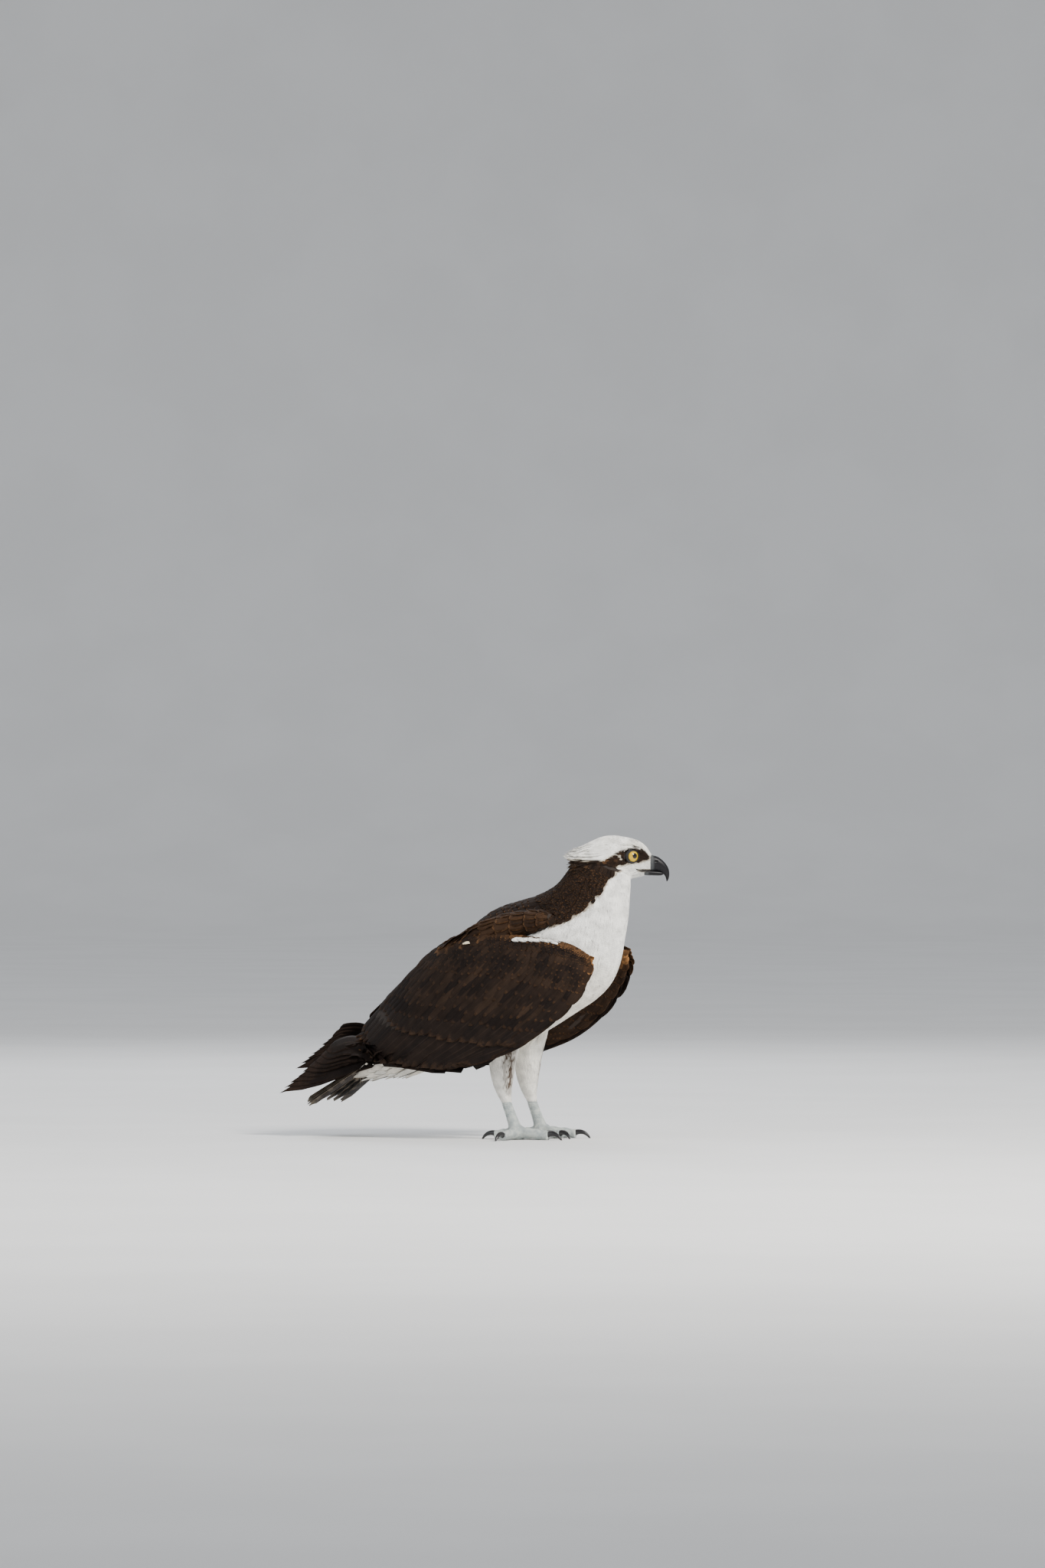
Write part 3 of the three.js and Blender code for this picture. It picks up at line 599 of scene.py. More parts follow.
def trunk_dark(p):
    border = np.interp(p[..., 2], BACK_BORDER[:, 0], BACK_BORDER[:, 1]) + 2.5 * ripple(p, 7)
    soft = 2.0 + 4.0 * step(320, 290, p[..., 2])
    return step(-soft, soft, border - p[..., 0])


def trunk_colour(p, jitter):
    dark = trunk_dark(p)
    tone = mix(DARK, BROWN, np.clip(0.45 + 0.5 * jitter, 0, 1))
    edge = 4 * dark * (1 - dark)
    # Painted shade: the white underparts turn towards cream lower down on the trunk.
    low_painted_shade = step(250, 160, p[..., 2]) * 0.35
    throat = step(0.2, 0.9, ripple(p, 11, 3)) * step(305, 320, p[..., 2]) * 0.1
    white = mix(mix(WHITE, CREAM, low_painted_shade + 0.06), GREY, throat)
    return mix(mix(white, tone, dark), mix(RUFOUS, CREAM, 0.45), edge * 0.6)


def thigh_colour(p, jitter):
    """White, with a mottled brown stripe down the outer front."""
    side = np.sign(p[..., 1])
    x = p[..., 0] - np.where(side > 0, LEFT_LEG_AHEAD, 0)
    outer = np.abs(p[..., 1]) - 32
    stripe = step(4, 10, x - 42) * step(-4, 6, outer) * step(150, 120, p[..., 2]) * step(58, 70, p[..., 2])
    mottle = step(-0.5, 0.4, ripple(p, 3.4, 5))
    white = mix(WHITE, CREAM, 0.22)
    return mix(white, mix(BROWN, RUFOUS, 0.25), stripe * (0.35 + 0.6 * mottle))


# Feathers. Each batch keeps its points, faces and what its material reads, until it becomes a piece.


def repeated(faces, count, size, first=0):
    """The same faces for each of count like shapes of size points."""
    offsets = first + np.arange(count) * size
    return [(offsets[:, None, None] + g[None]).reshape(-1, g.shape[1]) for g in faces]


def pick(chosen, *rows):
    return [row[chosen] for row in rows]


# How much of the unwrap one feather's patch takes, across and along
PATCH = np.array([0.0014, 0.0028])


class Batch:
    def __init__(self):
        self.points = []
        self.faces = []
        self.plumage = []
        self.fringe = []
        self.vane = []
        self.place = []
        self.first = 0

    def add(self, grid, faces, plumage, fringe, across, along, barbs, unwrap):
        """grid holds many feathers of the same make: feathers, points of each, 3."""
        count, size = grid.shape[:2]
        self.points.append(grid.reshape(-1, 3))
        self.faces += repeated(faces, count, size, self.first)
        self.plumage.append(np.repeat(plumage, size, axis=0))
        self.fringe.append(np.repeat(fringe, size, axis=0))
        barbs = np.broadcast_to(np.asarray(barbs, float), (count,))
        across, along = np.tile(across, count), np.tile(along, count)
        self.vane.append(np.stack([across, along, np.repeat(barbs, size)], axis=1))
        patch = np.stack([across, along], axis=1) * PATCH
        self.place.append(np.repeat(unwrap, size, axis=0) + patch)
        self.first += count * size

    def finish(self, name, material, smooth=True):
        mesh = new_mesh(name, np.vstack(self.points), self.faces, smooth)
        store_colour(mesh, "plumage", np.vstack(self.plumage))
        store_colour(mesh, "fringe", np.vstack(self.fringe))
        store(mesh, "vane", np.vstack(self.vane))
        corner = np.empty(len(mesh.loops), np.int32)
        mesh.loops.foreach_get("vertex_index", corner)
        uv = mesh.uv_layers.new(name="OFBake")
        uv.data.foreach_set("uv", np.vstack(self.place)[corner].ravel())
        piece = add_object(name, mesh, material)
        return piece


def tuft_make(stations):
    """A slim closed tuft: a three-sided section at each station and a point at the end."""
    faces = []
    n = len(stations) - 1
    for i in range(n - 1):
        for j in range(3):
            a, b = i * 3 + j, i * 3 + (j + 1) % 3
            faces.append([a, b, b + 3, a + 3])
    tip = [[(n - 1) * 3 + j, (n - 1) * 3 + (j + 1) % 3, n * 3] for j in range(3)]
    across = np.array([-1, 0, 1] * n + [0], float)
    along = np.array([s for s in stations[:-1] for _ in range(3)] + [1.0])
    return [np.array(faces), np.array([[0, 2, 1]] + tip)], across, along


# How far off a feather may be before it stops following the skin
CLING = 5.0


def march(roots, ways, lengths, stations, height):
    """Steps along the skin from each root: places, outward directions and headings at each station."""
    place, out, _ = nearest(skin_tree, roots)
    way = square_to(ways, out)
    spots, outs, headings = [], [], []
    for n, share in enumerate(stations):
        if n:
            stride = (share - stations[n - 1]) * lengths[:, None]
            guess = place + way * stride
            near, normal, away = nearest(skin_tree, guess)
            off = (away > CLING)[:, None]
            bend = unit(out * 0.5 + normal * 0.5)
            place = np.where(off, guess, near)
            out = np.where(off, out, bend)
            way = square_to(way, out)
        spots.append(place + out * np.broadcast_to(height[n], (len(roots),))[:, None])
        outs.append(out)
        headings.append(way)
    return np.stack(spots, 1), np.stack(outs, 1), np.stack(headings, 1)


TUFT_STATIONS = [0.0, 0.4, 0.78, 1.0]
TUFT_WIDTHS = [0.6, 1.0, 0.7]


def lay_tufts(batch, roots, ways, lengths, widths, colours, unwrap, lift=1.0):
    n = len(roots)
    heights = [np.full(n, -0.9), 0.8 * lift, 1.25 * lift, 1.15 * lift + 0.35 * rng.random(n)]
    spots, outs, headings = march(roots, ways, lengths, TUFT_STATIONS, heights)
    side = unit(np.cross(outs, headings))
    grid = np.empty((n, 10, 3))
    for i, wide in enumerate(TUFT_WIDTHS):
        half = (widths * wide / 2)[:, None]
        droop = outs[:, i] * half * 0.16
        grid[:, i * 3] = spots[:, i] - side[:, i] * half - droop
        grid[:, i * 3 + 1] = spots[:, i] + outs[:, i] * half * 0.12
        grid[:, i * 3 + 2] = spots[:, i] + side[:, i] * half - droop
    grid[:, 9] = spots[:, 3]
    faces, across, along = tuft_make(TUFT_STATIONS)
    batch.add(grid, faces, colours, colours, across, along, 6.0, unwrap)


def scatter(loft, rows, spacing, jitter=0.45, share=(0, 1)):
    """Roots in staggered rows over a loft: shares along it and angles round it."""
    ts, angles = [], []
    for i, t in enumerate(np.linspace(share[0], share[1], rows)):
        ring = loft(np.full(24, t), circle(24))
        girth = np.linalg.norm(ring - np.roll(ring, 1, axis=0), axis=1).sum()
        count = max(int(girth / spacing), 3)
        angle = (np.arange(count) + (i % 2) / 2) * 2 * np.pi / count
        ts.append(np.clip(t + rng.uniform(-1, 1, count) * jitter * (share[1] - share[0]) / rows, 0, 1))
        angles.append(angle + rng.uniform(-1, 1, count) * jitter * 2 * np.pi / count)
    return np.concatenate(ts), np.concatenate(angles)


def loft_way(loft, t, angle, sign=1):
    """The direction in which the loft runs at each root."""
    a = loft(np.clip(t - 0.01, 0, 1), angle)
    b = loft(np.clip(t + 0.01, 0, 1), angle)
    return unit(b - a) * sign


def unwrap_at(t, angle, corner):
    """A root's place on the skin's unwrap: each body part has its own quarter."""
    return np.stack([corner[0] + 0.46 * t, corner[1] + 0.46 * ((angle / (2 * np.pi)) % 1)], axis=1)


def splay(ways, outs, amount):
    """Turns each heading a little to either side."""
    side = unit(np.cross(outs, ways))
    return unit(ways + side * rng.normal(0, amount, len(ways))[:, None])


def vary(low, high, count):
    return rng.uniform(low, high, count)


def shaded(colours, amount):
    """The same colours, each a little lighter or darker."""
    return colours * (1 + amount * rng.normal(0, 1, len(colours)))[:, None]


def coat_of_trunk(material):
    t, angle = scatter(trunk, 165, 3.0)
    roots = trunk(t, angle, -COAT)
    _, out, away = nearest(skin_tree, roots)
    t, angle, roots, out = pick(away < 1.6, t, angle, roots, out)
    ways = splay(loft_way(trunk, t, angle), out, 0.11)
    jitter = vary(-1, 1, len(t))
    lengths = np.interp(t, [0, 0.15, 0.4, 0.8, 1], [10, 14, 20, 22, 24]) * vary(0.8, 1.2, len(t))
    seen_at = roots + ways * lengths[:, None] * 0.6
    colours = shaded(trunk_colour(seen_at, jitter), 0.03)
    widths = np.interp(t, [0, 0.15, 0.5, 1], [2.8, 3.8, 5.2, 5.4]) * vary(0.8, 1.25, len(t))
    rows = (roots, ways, lengths, widths, colours, unwrap_at(t, angle, (0.02, 0.02)))
    half = np.cos(angle) > 0
    for name, chosen in (("coat_body_left", half), ("coat_body_right", ~half)):
        batch = Batch()
        lay_tufts(batch, *pick(chosen, *rows))
        batch.finish(name, material, smooth=False)


def coat_of_head(material):
    t, angle = scatter(head, 84, 1.6)
    roots = head(t, angle, -HEAD_COAT)
    _, out, away = nearest(skin_tree, roots)
    q = into_head(roots)
    clear = away < np.where((q[:, 0] > -12) & (q[:, 2] > 2), 4.5, 1.8)
    for side in (RIGHT, LEFT):
        aside, ahead = about_eye(roots, side)
        clear &= (np.linalg.norm(aside, axis=1) > 8.5) | (ahead < 0)
    t, angle, roots, out, q = pick(clear, t, angle, roots, out, q)
    ways = loft_way(head, t, angle, -1)
    around_eye = np.zeros(len(t))
    for side in (RIGHT, LEFT):
        aside, ahead = about_eye(roots, side)
        near = step(17, 10, np.linalg.norm(aside, axis=1)) * (ahead > 0)
        ways = unit(ways + unit(aside) * near[:, None] * 0.5)
        around_eye = np.maximum(around_eye, near)
    ways = splay(ways, out, 0.12)
    lengths = np.interp(q[:, 0], [-55, -25, 5, 26], [11, 8.5, 5.5, 3.4]) * vary(0.8, 1.2, len(t))
    lengths = lengths * (1 - 0.5 * around_eye)
    seen_at = roots + ways * lengths[:, None] * 0.65
    colours = shaded(head_colour(seen_at, vary(-1, 1, len(t))), 0.04)
    widths = np.interp(q[:, 0], [-55, 0, 26], [2.4, 1.7, 1.1]) * vary(0.8, 1.2, len(t))
    batch = Batch()
    lay_tufts(batch, roots, ways, lengths, widths, colours, unwrap_at(t, angle, (0.52, 0.02)), lift=0.62)
    batch.finish("coat_head", material, smooth=False)


def coat_of_thigh(side, material):
    loft = leg(THIGH, side)
    t, angle = scatter(loft, 64, 2.2)
    roots = loft(t, angle, -THIGH_COAT)
    _, out, away = nearest(skin_tree, roots)
    t, angle, roots, out = pick(away < 1.6, t, angle, roots, out)
    ways = splay(loft_way(loft, t, angle), out, 0.12)
    colours = shaded(thigh_colour(roots, vary(-1, 1, len(t))), 0.05)
    lengths = np.interp(t, [0, 0.5, 1], [17, 12, 7]) * vary(0.8, 1.2, len(t))
    widths = np.interp(t, [0, 0.5, 1], [3.4, 2.6, 1.6]) * vary(0.8, 1.2, len(t))
    row = 0.52 if side == RIGHT else 0.76
    unwrap = unwrap_at(t, angle, (0.02, row))
    unwrap[:, 1] = row + (unwrap[:, 1] % 0.46) * 0.46
    batch = Batch()
    lay_tufts(batch, roots, ways, lengths, widths, colours, unwrap, lift=0.8)
    batch.finish("coat_thigh_" + WORDS[side], material, smooth=False)


# A vane: a closed thin blade with columns across, thickest at its shaft, with a rounded, slightly frayed end.

BLADE_COLUMNS = np.array([-1, -0.55, 0, 0.55, 1])
BLADE_STATIONS = np.array([0, 0.22, 0.45, 0.66, 0.82, 0.93, 1.0])
BLADE_WIDTHS = np.array([0.45, 0.85, 1.0, 0.98, 0.84, 0.58, 0.22])
QUILL_COLUMNS = np.array([-1, -0.72, -0.4, -0.08, 0.08, 0.4, 0.72, 1])
QUILL_STATIONS = np.linspace(0, 1, 17)


def quill_widths(start, widen, tip, point, least):
    """A quill's width at its stations: it widens from start and closes at its tip."""
    a = QUILL_STATIONS
    closing = np.clip(1 - np.maximum(a - tip, 0) / (1 - tip), 0, 1) ** point
    return np.minimum(start + widen * a, 1) * closing + least


SECONDARY_WIDTHS = quill_widths(0.55, 1.4, 0.86, 0.5, 0.04)
PRIMARY_WIDTHS = quill_widths(0.55, 1.4, 0.86, 0.65, 0.04)
TAIL_WIDTHS = quill_widths(0.62, 0.9, 0.93, 0.4, 0.08)


def vane_faces(stations, columns):
    """A closed shell: the upper row of columns and, between the two edges, a lower row."""
    ring = 2 * columns - 2
    faces = grid_faces(stations, ring)
    caps = [[list(range(ring))[::-1]], [[(stations - 1) * ring + j for j in range(ring)]]]
    return [faces] + [np.array(c) for c in caps]


def lay_vanes(
    batch, spots, outs, sides, widths, profile, columns, colours, fringes, unwrap,
    thick=0.3, cup=0.16, fray=0.04, barbs=30.0,
):
    """spots, outs and sides are feathers by stations by 3. A vane's edges are cupped towards the body."""
    n, stations = spots.shape[:2]
    c = columns
    half = widths[:, None] * profile[None]
    reach = c[None, None, :] * half[:, :, None]
    fall = -cup * half[:, :, None] * c[None, None, :] ** 2
    along = np.zeros_like(spots)
    along[:, 1:] = spots[:, 1:] - spots[:, :-1]
    along[:, 0] = along[:, 1]
    share = np.linspace(0, 1, stations)
    worn = rng.uniform(-1, 1, (n, 1, len(c))) * fray * (share[None, :, None] ** 4) * stations
    top = spots[:, :, None] + sides[:, :, None] * reach[..., None] + outs[:, :, None] * fall[..., None]
    top = top + along[:, :, None] * worn[..., None]
    body = thick * (1 - np.abs(c[1:-1])) + thick * 0.5
    low = top[:, :, 1:-1] - outs[:, :, None] * body[None, None, :, None]
    ring = np.concatenate([top, low[:, :, ::-1]], axis=2)
    across = np.tile(np.concatenate([c, c[1:-1][::-1]]), stations)
    share = np.repeat(share if stations == len(QUILL_STATIONS) else BLADE_STATIONS, 2 * len(c) - 2)
    faces = vane_faces(stations, len(c))
    batch.add(ring.reshape(n, -1, 3), faces, colours, fringes, across, share, barbs, unwrap)


def lay_blades(batch, roots, ways, lengths, widths, colours, fringes, unwrap, lift):
    """Broad body feathers that follow the skin."""
    n = len(roots)
    shape = np.array([-1.0, 0.5, 1.2, 1.7, 2.0, 2.1, 2.0]) * lift
    heights = [np.full(n, h) + (0.3 * rng.random(n) if h > 0 else 0) for h in shape]
    spots, outs, headings = march(roots, ways, lengths, list(BLADE_STATIONS), heights)
    sides = unit(np.cross(outs, headings))
    lay_vanes(batch, spots, outs, sides, widths, BLADE_WIDTHS, BLADE_COLUMNS, colours, fringes, unwrap)


# The mantle from the nape down: rows, spacing, length and half width in millimetres, share of the trunk.
MANTLE = (
    (34, 4.4, 12, 2.9, (0.0, 0.26)),
    (20, 8, 20, 6.0, (0.27, 0.62)),
    (10, 10, 28, 8.6, (0.64, 0.97)),
)


def mantle(material):
    """Dark, rufous-edged feathers over the hind neck and back."""
    batch = Batch()
    for rows, spacing, length, wide, span in MANTLE:
        t, angle = scatter(trunk, rows, spacing, 0.2, span)
        roots = trunk(t, angle, -COAT)
        _, out, away = nearest(skin_tree, roots)
        ends = roots + loft_way(trunk, t, angle) * length * 0.8
        chosen = (away < 2.2) & (trunk_dark(roots) > 0.5) & (trunk_dark(ends) > 0.5)
        t, angle, roots, out = pick(chosen, t, angle, roots, out)
        ways = splay(loft_way(trunk, t, angle), out, 0.07)
        colours = mix(DARK, BROWN, vary(0, 1, len(t)) * 0.5)
        fringes = mix(BROWN, RUFOUS, 0.15 + 0.45 * rng.random(len(t)))
        scale = vary(0.88, 1.12, len(t))
        unwrap = unwrap_at(t, angle, (0.02, 0.02))
        lay_blades(batch, roots, ways, length * scale, wide * scale, colours, fringes, unwrap, 1.15)
    batch.finish("coat_mantle", material)


# Wings

def wing_unwrap(u, w, side):
    corner = (0.52, 0.52) if side == RIGHT else (0.76, 0.52)
    return np.stack([corner[0] + 0.2 * u, corner[1] + 0.4 * w], axis=-1)


def lay_on_wing(
    batch, side, u, w_from, w_to, half_width, heights, colours, fringes, stations, profile, columns,
    inner=False, **shape,
):
    """Feathers down the wing's face from w_from to w_to at shares u back along the forearm."""
    uu = np.broadcast_to(u[:, None], (len(u), len(stations)))
    ww = w_from[:, None] + (w_to - w_from)[:, None] * stations[None, :]
    out = outward(wing_face, uu, ww)
    spots = wing_face(uu, ww)
    sides = wing_face(uu + 0.01, ww) - wing_face(uu - 0.01, ww)
    sides = mirrored(square_to(sides, unit(np.gradient(spots, axis=1))), side)
    if inner:
        spots = spots - out * wing_depth(ww)
        out = -out
    height = np.interp(stations, np.linspace(0, 1, len(heights)), heights)
    spots = place_wing(spots + out * height[None, :, None], side)
    unwrap = wing_unwrap(u, w_from, side)
    out = mirrored(out, side)
    lay_vanes(batch, spots, out, sides, half_width, profile, columns, colours, fringes, unwrap, **shape)


# Rows of coverts down the wing: how many rows, feathers in each, where they start and how long they are,
# in shares of the way down, their half width in millimetres, how rufous, and how high they lie.
COVERT_ROWS = [
    {"rows": 6, "count": 44, "span": (0.0, 0.15), "length": 0.06, "half": 3.6, "rufous": 0.7, "high": 1.7},
    {"rows": 5, "count": 34, "span": (0.17, 0.33), "length": 0.1, "half": 5.4, "rufous": 0.4, "high": 1.6},
    {"rows": 4, "count": 25, "span": (0.36, 0.55), "length": 0.14, "half": 7.6, "rufous": 0.22, "high": 1.4},
]
INNER_ROWS = {"rows": 16, "count": 40, "step": 0.052, "length": 0.085, "half": 4.6}


def covert_row(batch, side, tract, k):
    """One row of the wing's outer face, warmer in colour at its top edge and its wrist."""
    count = tract["count"]
    u = 0.012 + 0.976 * (np.arange(count) + 0.5 * (k % 2)) / count + vary(-0.004, 0.004, count)
    first, last = tract["span"]
    start = first + (last - first) * k / max(tract["rows"] - 1, 1)
    w0 = start - 0.02 + vary(-0.006, 0.006, count)
    length = tract["length"] * vary(0.9, 1.1, count)
    wrist = step(0.07, 0.0, u) * step(0.35, 0.1, w0)
    edge = np.maximum(wrist, step(0.06, 0.0, w0) * step(0.85, 0.5, u))
    patch = ripple(np.stack([u * 160, w0 * 160, w0 * 0], axis=1), 11, side * 2.0)
    warm = tract["rufous"] * (0.35 + 0.4 * step(0.45, 0.0, u) + 0.5 * edge) * vary(0.3, 1.4, count)
    warm = warm * (0.75 + 0.6 * patch)
    colours = mix(DARK, BROWN, np.clip(vary(-0.1, 0.6, count) + 0.6 * patch, 0, 1))
    colours = mix(colours, RUFOUS, np.clip(edge * vary(0.1, 0.7, count), 0, 1))
    fringes = mix(mix(BROWN, RUFOUS, np.clip(warm, 0, 1)), ORANGE, edge * vary(0.1, 0.8, count))
    high = tract["high"]
    lay_on_wing(
        batch, side, np.clip(u, 0.005, 0.995), np.maximum(w0, 0.0), w0 + length + 0.02,
        np.full(count, tract["half"]), [-1.2, high * 0.7, high, high * 1.05, high], colours, fringes,
        BLADE_STATIONS, BLADE_WIDTHS, BLADE_COLUMNS, cup=0.2,
    )


def inner_row(batch, side, k):
    """One row of the wing's inner face, paler in its middle."""
    count = INNER_ROWS["count"]
    u = 0.01 + 0.98 * (np.arange(count) + 0.5 * (k % 2)) / count
    w0 = np.full(count, 0.01 + INNER_ROWS["step"] * k) + vary(-0.006, 0.006, count)
    pale = vary(0.1, 0.9, count) * step(0.16, 0.34, u) * step(0.72, 0.5, w0)
    colours = mix(mix(DARK, BROWN, vary(0.2, 1.0, count)), CREAM * 0.8, pale)
    warm = step(0.2, 0.05, u) * step(0.3, 0.05, w0) * vary(0.2, 0.9, count)
    colours = mix(colours, ORANGE, warm)
    fringes = mix(mix(colours, RUFOUS, 0.35), WHITE, pale * 0.3)
    lay_on_wing(
        batch, side, np.clip(u, 0.01, 0.99), w0, w0 + INNER_ROWS["length"],
        np.full(count, INNER_ROWS["half"]),
        [-0.8, 0.7, 1.1, 1.2, 1.2], colours, fringes,
        BLADE_STATIONS, BLADE_WIDTHS, BLADE_COLUMNS, inner=True,
    )


def wing_coverts(side, material):
    batch = Batch()
    for tract in reversed(COVERT_ROWS):
        for k in reversed(range(tract["rows"])):
            covert_row(batch, side, tract, k)
    for k in reversed(range(INNER_ROWS["rows"])):
        inner_row(batch, side, k)
    batch.finish("coat_wing_" + WORDS[side], material)


# The long feathers of the wing's face, the secondaries and their greater coverts: how many, where they
# start and end, their half width, how high they lie off the face along them, and how rufous they are.
LONG_ROWS = (
    (19, 0.62, 1.0, 8.6, [-1.5, -1.2, -0.7, -0.3, 0.0], 0.05),
    (19, 0.50, 0.80, 8.2, [-1.4, 0.2, 0.8, 1.0, 0.9], 0.08),
)


def wing_quills(side, material):
    batch = Batch()
    for count, first, last, half, heights, rufous in LONG_ROWS:
        for n in range(count):
            u = np.array([0.03 + 0.94 * n / (count - 1)])
            end = last - 0.012 * math.sin(2.3 * n) ** 2 - 0.05 * step(0.66, 0.9, u)
            colour = mix(DARK, BROWN, vary(0.0, 0.35, 1))
            fringe = mix(BROWN, RUFOUS, rufous * vary(0.6, 1.4, 1))
            lay_on_wing(
                batch, side, u, np.array([first]), end, np.array([half]), heights, colour, fringe,
                QUILL_STATIONS, SECONDARY_WIDTHS, QUILL_COLUMNS, thick=0.35, cup=0.10, fray=0.02, barbs=90.0,
            )
    for n in range(PRIMARY["count"]):
        lay_primary(batch, side, n)
    batch.finish("quills_wing_" + WORDS[side], material)


PRIMARY = {"count": 9, "half": 12.5, "step": 0.7, "depth": 4.5, "arch": 20, "bow": 13}


def primary_line(share, t):
    def under(u, w, depth):
        return wing_face(u, w) - outward(wing_face, u, w) * depth
    root = under(0.07 + 0.76 * share, 0.79, 2.0)
    knee = under(0.08 + 0.8 * share, 0.95, PRIMARY["depth"])
    tip = WING_TIP_LOW * (1 - share) + WING_TIP_HIGH * share
    bend = np.array([0, PRIMARY["bow"] * (1 - share), PRIMARY["arch"] * (1 - share) + 4])
    middle = (knee + tip) / 2 + bend
    return curve([root, knee, middle, tip], t)


def lay_primary(batch, side, n):
    """One primary on the curved face that they share, a step further out than the one below it."""
    share = n / (PRIMARY["count"] - 1)
    near = min(max(share, 0.03), 0.97)
    t = QUILL_STATIONS
    spots = primary_line(share, t)
    along = unit(np.gradient(spots, axis=0))
    sides = square_to(primary_line(near + 0.03, t) - primary_line(near - 0.03, t), along)
    out = unit(np.cross(along, sides))
    out = np.where(out[:, 1:2] > 0, -out, out)
    stack = PRIMARY["step"] * (n - PRIMARY["count"] + 1) * step(0, 0.3, t)
    spots = place_wing(spots + out * stack[:, None], side)
    colour = mix(DARK * 0.8, BROWN, vary(0, 0.2, 1))
    lay_vanes(
        batch, spots[None], mirrored(out, side)[None], mirrored(sides, side)[None],
        np.array([PRIMARY["half"]]), PRIMARY_WIDTHS, QUILL_COLUMNS, colour, mix(DARK, BROWN, np.array([0.7])),
        wing_unwrap(np.array([share]), np.array([0.98]), side), thick=0.4, cup=0.06, fray=0.015, barbs=160.0,
    )


def scapulars(side, material):
    """Broad feathers over the shoulder, smaller at its front, with a white stripe and a pale spot."""
    batch = Batch()

    def lay(roots, lie, lengths, widths, colours, fringes, unwrap, lift):
        lie = mirrored(np.tile(unit(np.array(lie)), (len(roots), 1)), side)
        lay_blades(batch, place_wing(roots, side), lie, lengths, widths, colours, fringes, unwrap, lift)

    rows = 8
    for k in range(rows):
        back = math.radians(20 + 118 * k / (rows - 1))
        length = 17 + 36 * k / (rows - 1)
        wide = 6.0 + 7.5 * k / (rows - 1)
        count = 8 - (k % 2)
        turn = np.radians(np.linspace(-24, 112, count) + 5 * (k % 2)) + vary(-0.09, 0.09, count)
        girth = np.stack([np.zeros(count), -np.cos(turn), np.sin(turn)], axis=1)
        ball = np.array([math.cos(back), 0, 0]) + girth * math.sin(back)
        colours = mix(DARK, BROWN, vary(0.1, 0.6, count))
        colours = mix(colours, RUFOUS, vary(0.0, 0.22, count))
        fringes = mix(BROWN, RUFOUS, vary(0.3, 1.0, count))
        unwrap = unwrap_at(np.full(count, 0.5), turn, (0.02, 0.02))
        scale = vary(0.92, 1.08, count)
        lie = [-1.0, 0.02, -0.36]
        lay(shoulder(ball * 0.9), lie, length * scale, wide * scale, colours, fringes, unwrap, 1.25)
    for k, low in enumerate((250.5, 253.5)):
        count = 15
        x = np.linspace(80, 150, count) + vary(-1.5, 1.5, count) + 2.5 * k
        roots = np.stack([x, np.full(count, -66.0), np.full(count, low) + vary(-1, 1, count)], axis=1)
        white = mix(WHITE, CREAM, vary(0.0, 0.25, count))
        unwrap = unwrap_at(np.full(count, 0.45), np.full(count, 0.3 + k), (0.02, 0.02))
        lay(roots, [-1.0, 0.0, -0.14], vary(12, 17, count), np.full(count, 3.4), white, white, unwrap, 1.9)
    spot = np.array([[6.0, -62.0, 254.0], [4.0, -60.0, 251.0]])
    pale = np.tile(CREAM * 0.9, (2, 1))
    unwrap = unwrap_at(np.full(2, 0.6), np.full(2, 0.3), (0.02, 0.02))
    lay(spot, [-1.0, 0.0, -0.7], np.array([10.0, 9.0]), np.array([2.6, 2.2]), pale, pale, unwrap, 2.6)
    batch.finish("scapulars_" + WORDS[side], material)


# Materials

class Nodes:
    """A new material, with short ways to add shader nodes and wire them up."""
    def __init__(self, name):
        self.material = bpy.data.materials.new(name)
        self.material.use_nodes = True
        self.tree = self.material.node_tree
        self.shader = self.tree.nodes["Principled BSDF"].inputs

    def add(self, kind, **values):
        node = self.tree.nodes.new(kind)
        for key, value in values.items():
            setattr(node, key, value)
        return node

    def feed(self, sockets, values):
        """Sets each socket to its number or colour, or wires it to its node's output."""
        for socket, value in zip(sockets, values):
            if isinstance(value, (int, float)):
                socket.default_value = value
            elif isinstance(value, tuple):
                socket.default_value = (*value, 1)
            else:
                self.tree.links.new(value, socket)

    def math(self, operation, a, b=None):
        node = self.add("ShaderNodeMath", operation=operation)
        self.feed(node.inputs, (a,) if b is None else (a, b))
        return node.outputs[0]

    def ramp(self, value, low, high, to_low=0.0, to_high=1.0):
        node = self.add("ShaderNodeMapRange", interpolation_type="SMOOTHSTEP")
        self.feed(node.inputs, (value, low, high, to_low, to_high))
        return node.outputs[0]

    def mix(self, share, a, b):
        node = self.add("ShaderNodeMix", data_type="RGBA")
        self.feed((node.inputs[0], node.inputs[6], node.inputs[7]), (share, a, b))
        return node.outputs[2]

    def scaled(self, colour, share):
        node = self.add("ShaderNodeVectorMath", operation="SCALE")
        self.feed((node.inputs[0], node.inputs["Scale"]), (colour, share))
        return node.outputs[0]

    def colour_of(self, name):
        return self.add("ShaderNodeAttribute", attribute_name=name).outputs["Color"]

    def vector_of(self, name):
        """The three numbers that a mesh keeps at its vertices under a name."""
        node = self.add("ShaderNodeSeparateXYZ")
        self.feed(node.inputs, [self.add("ShaderNodeAttribute", attribute_name=name).outputs["Vector"]])
        return node.outputs[0], node.outputs[1], node.outputs[2]

    def noise(self, scale, detail):
        node = self.add("ShaderNodeTexNoise")
        place = self.add("ShaderNodeTexCoord").outputs["Object"]
        names = ("Vector", "Scale", "Detail")
        self.feed([node.inputs[name] for name in names], (place, scale, detail))
        return node.outputs["Fac"]

    def finish(self, colour, height, strength, distance, **values):
        """Colour and bump into the shader, and the numbers of its other sockets."""
        node = self.add("ShaderNodeBump")
        names = ("Height", "Strength", "Distance")
        self.feed([node.inputs[name] for name in names], (height, strength, distance))
        self.feed((self.shader["Base Color"], self.shader["Normal"]), (colour, node.outputs["Normal"]))
        for name, value in values.items():
            self.shader[name.replace("_", " ")].default_value = value
        return self.material


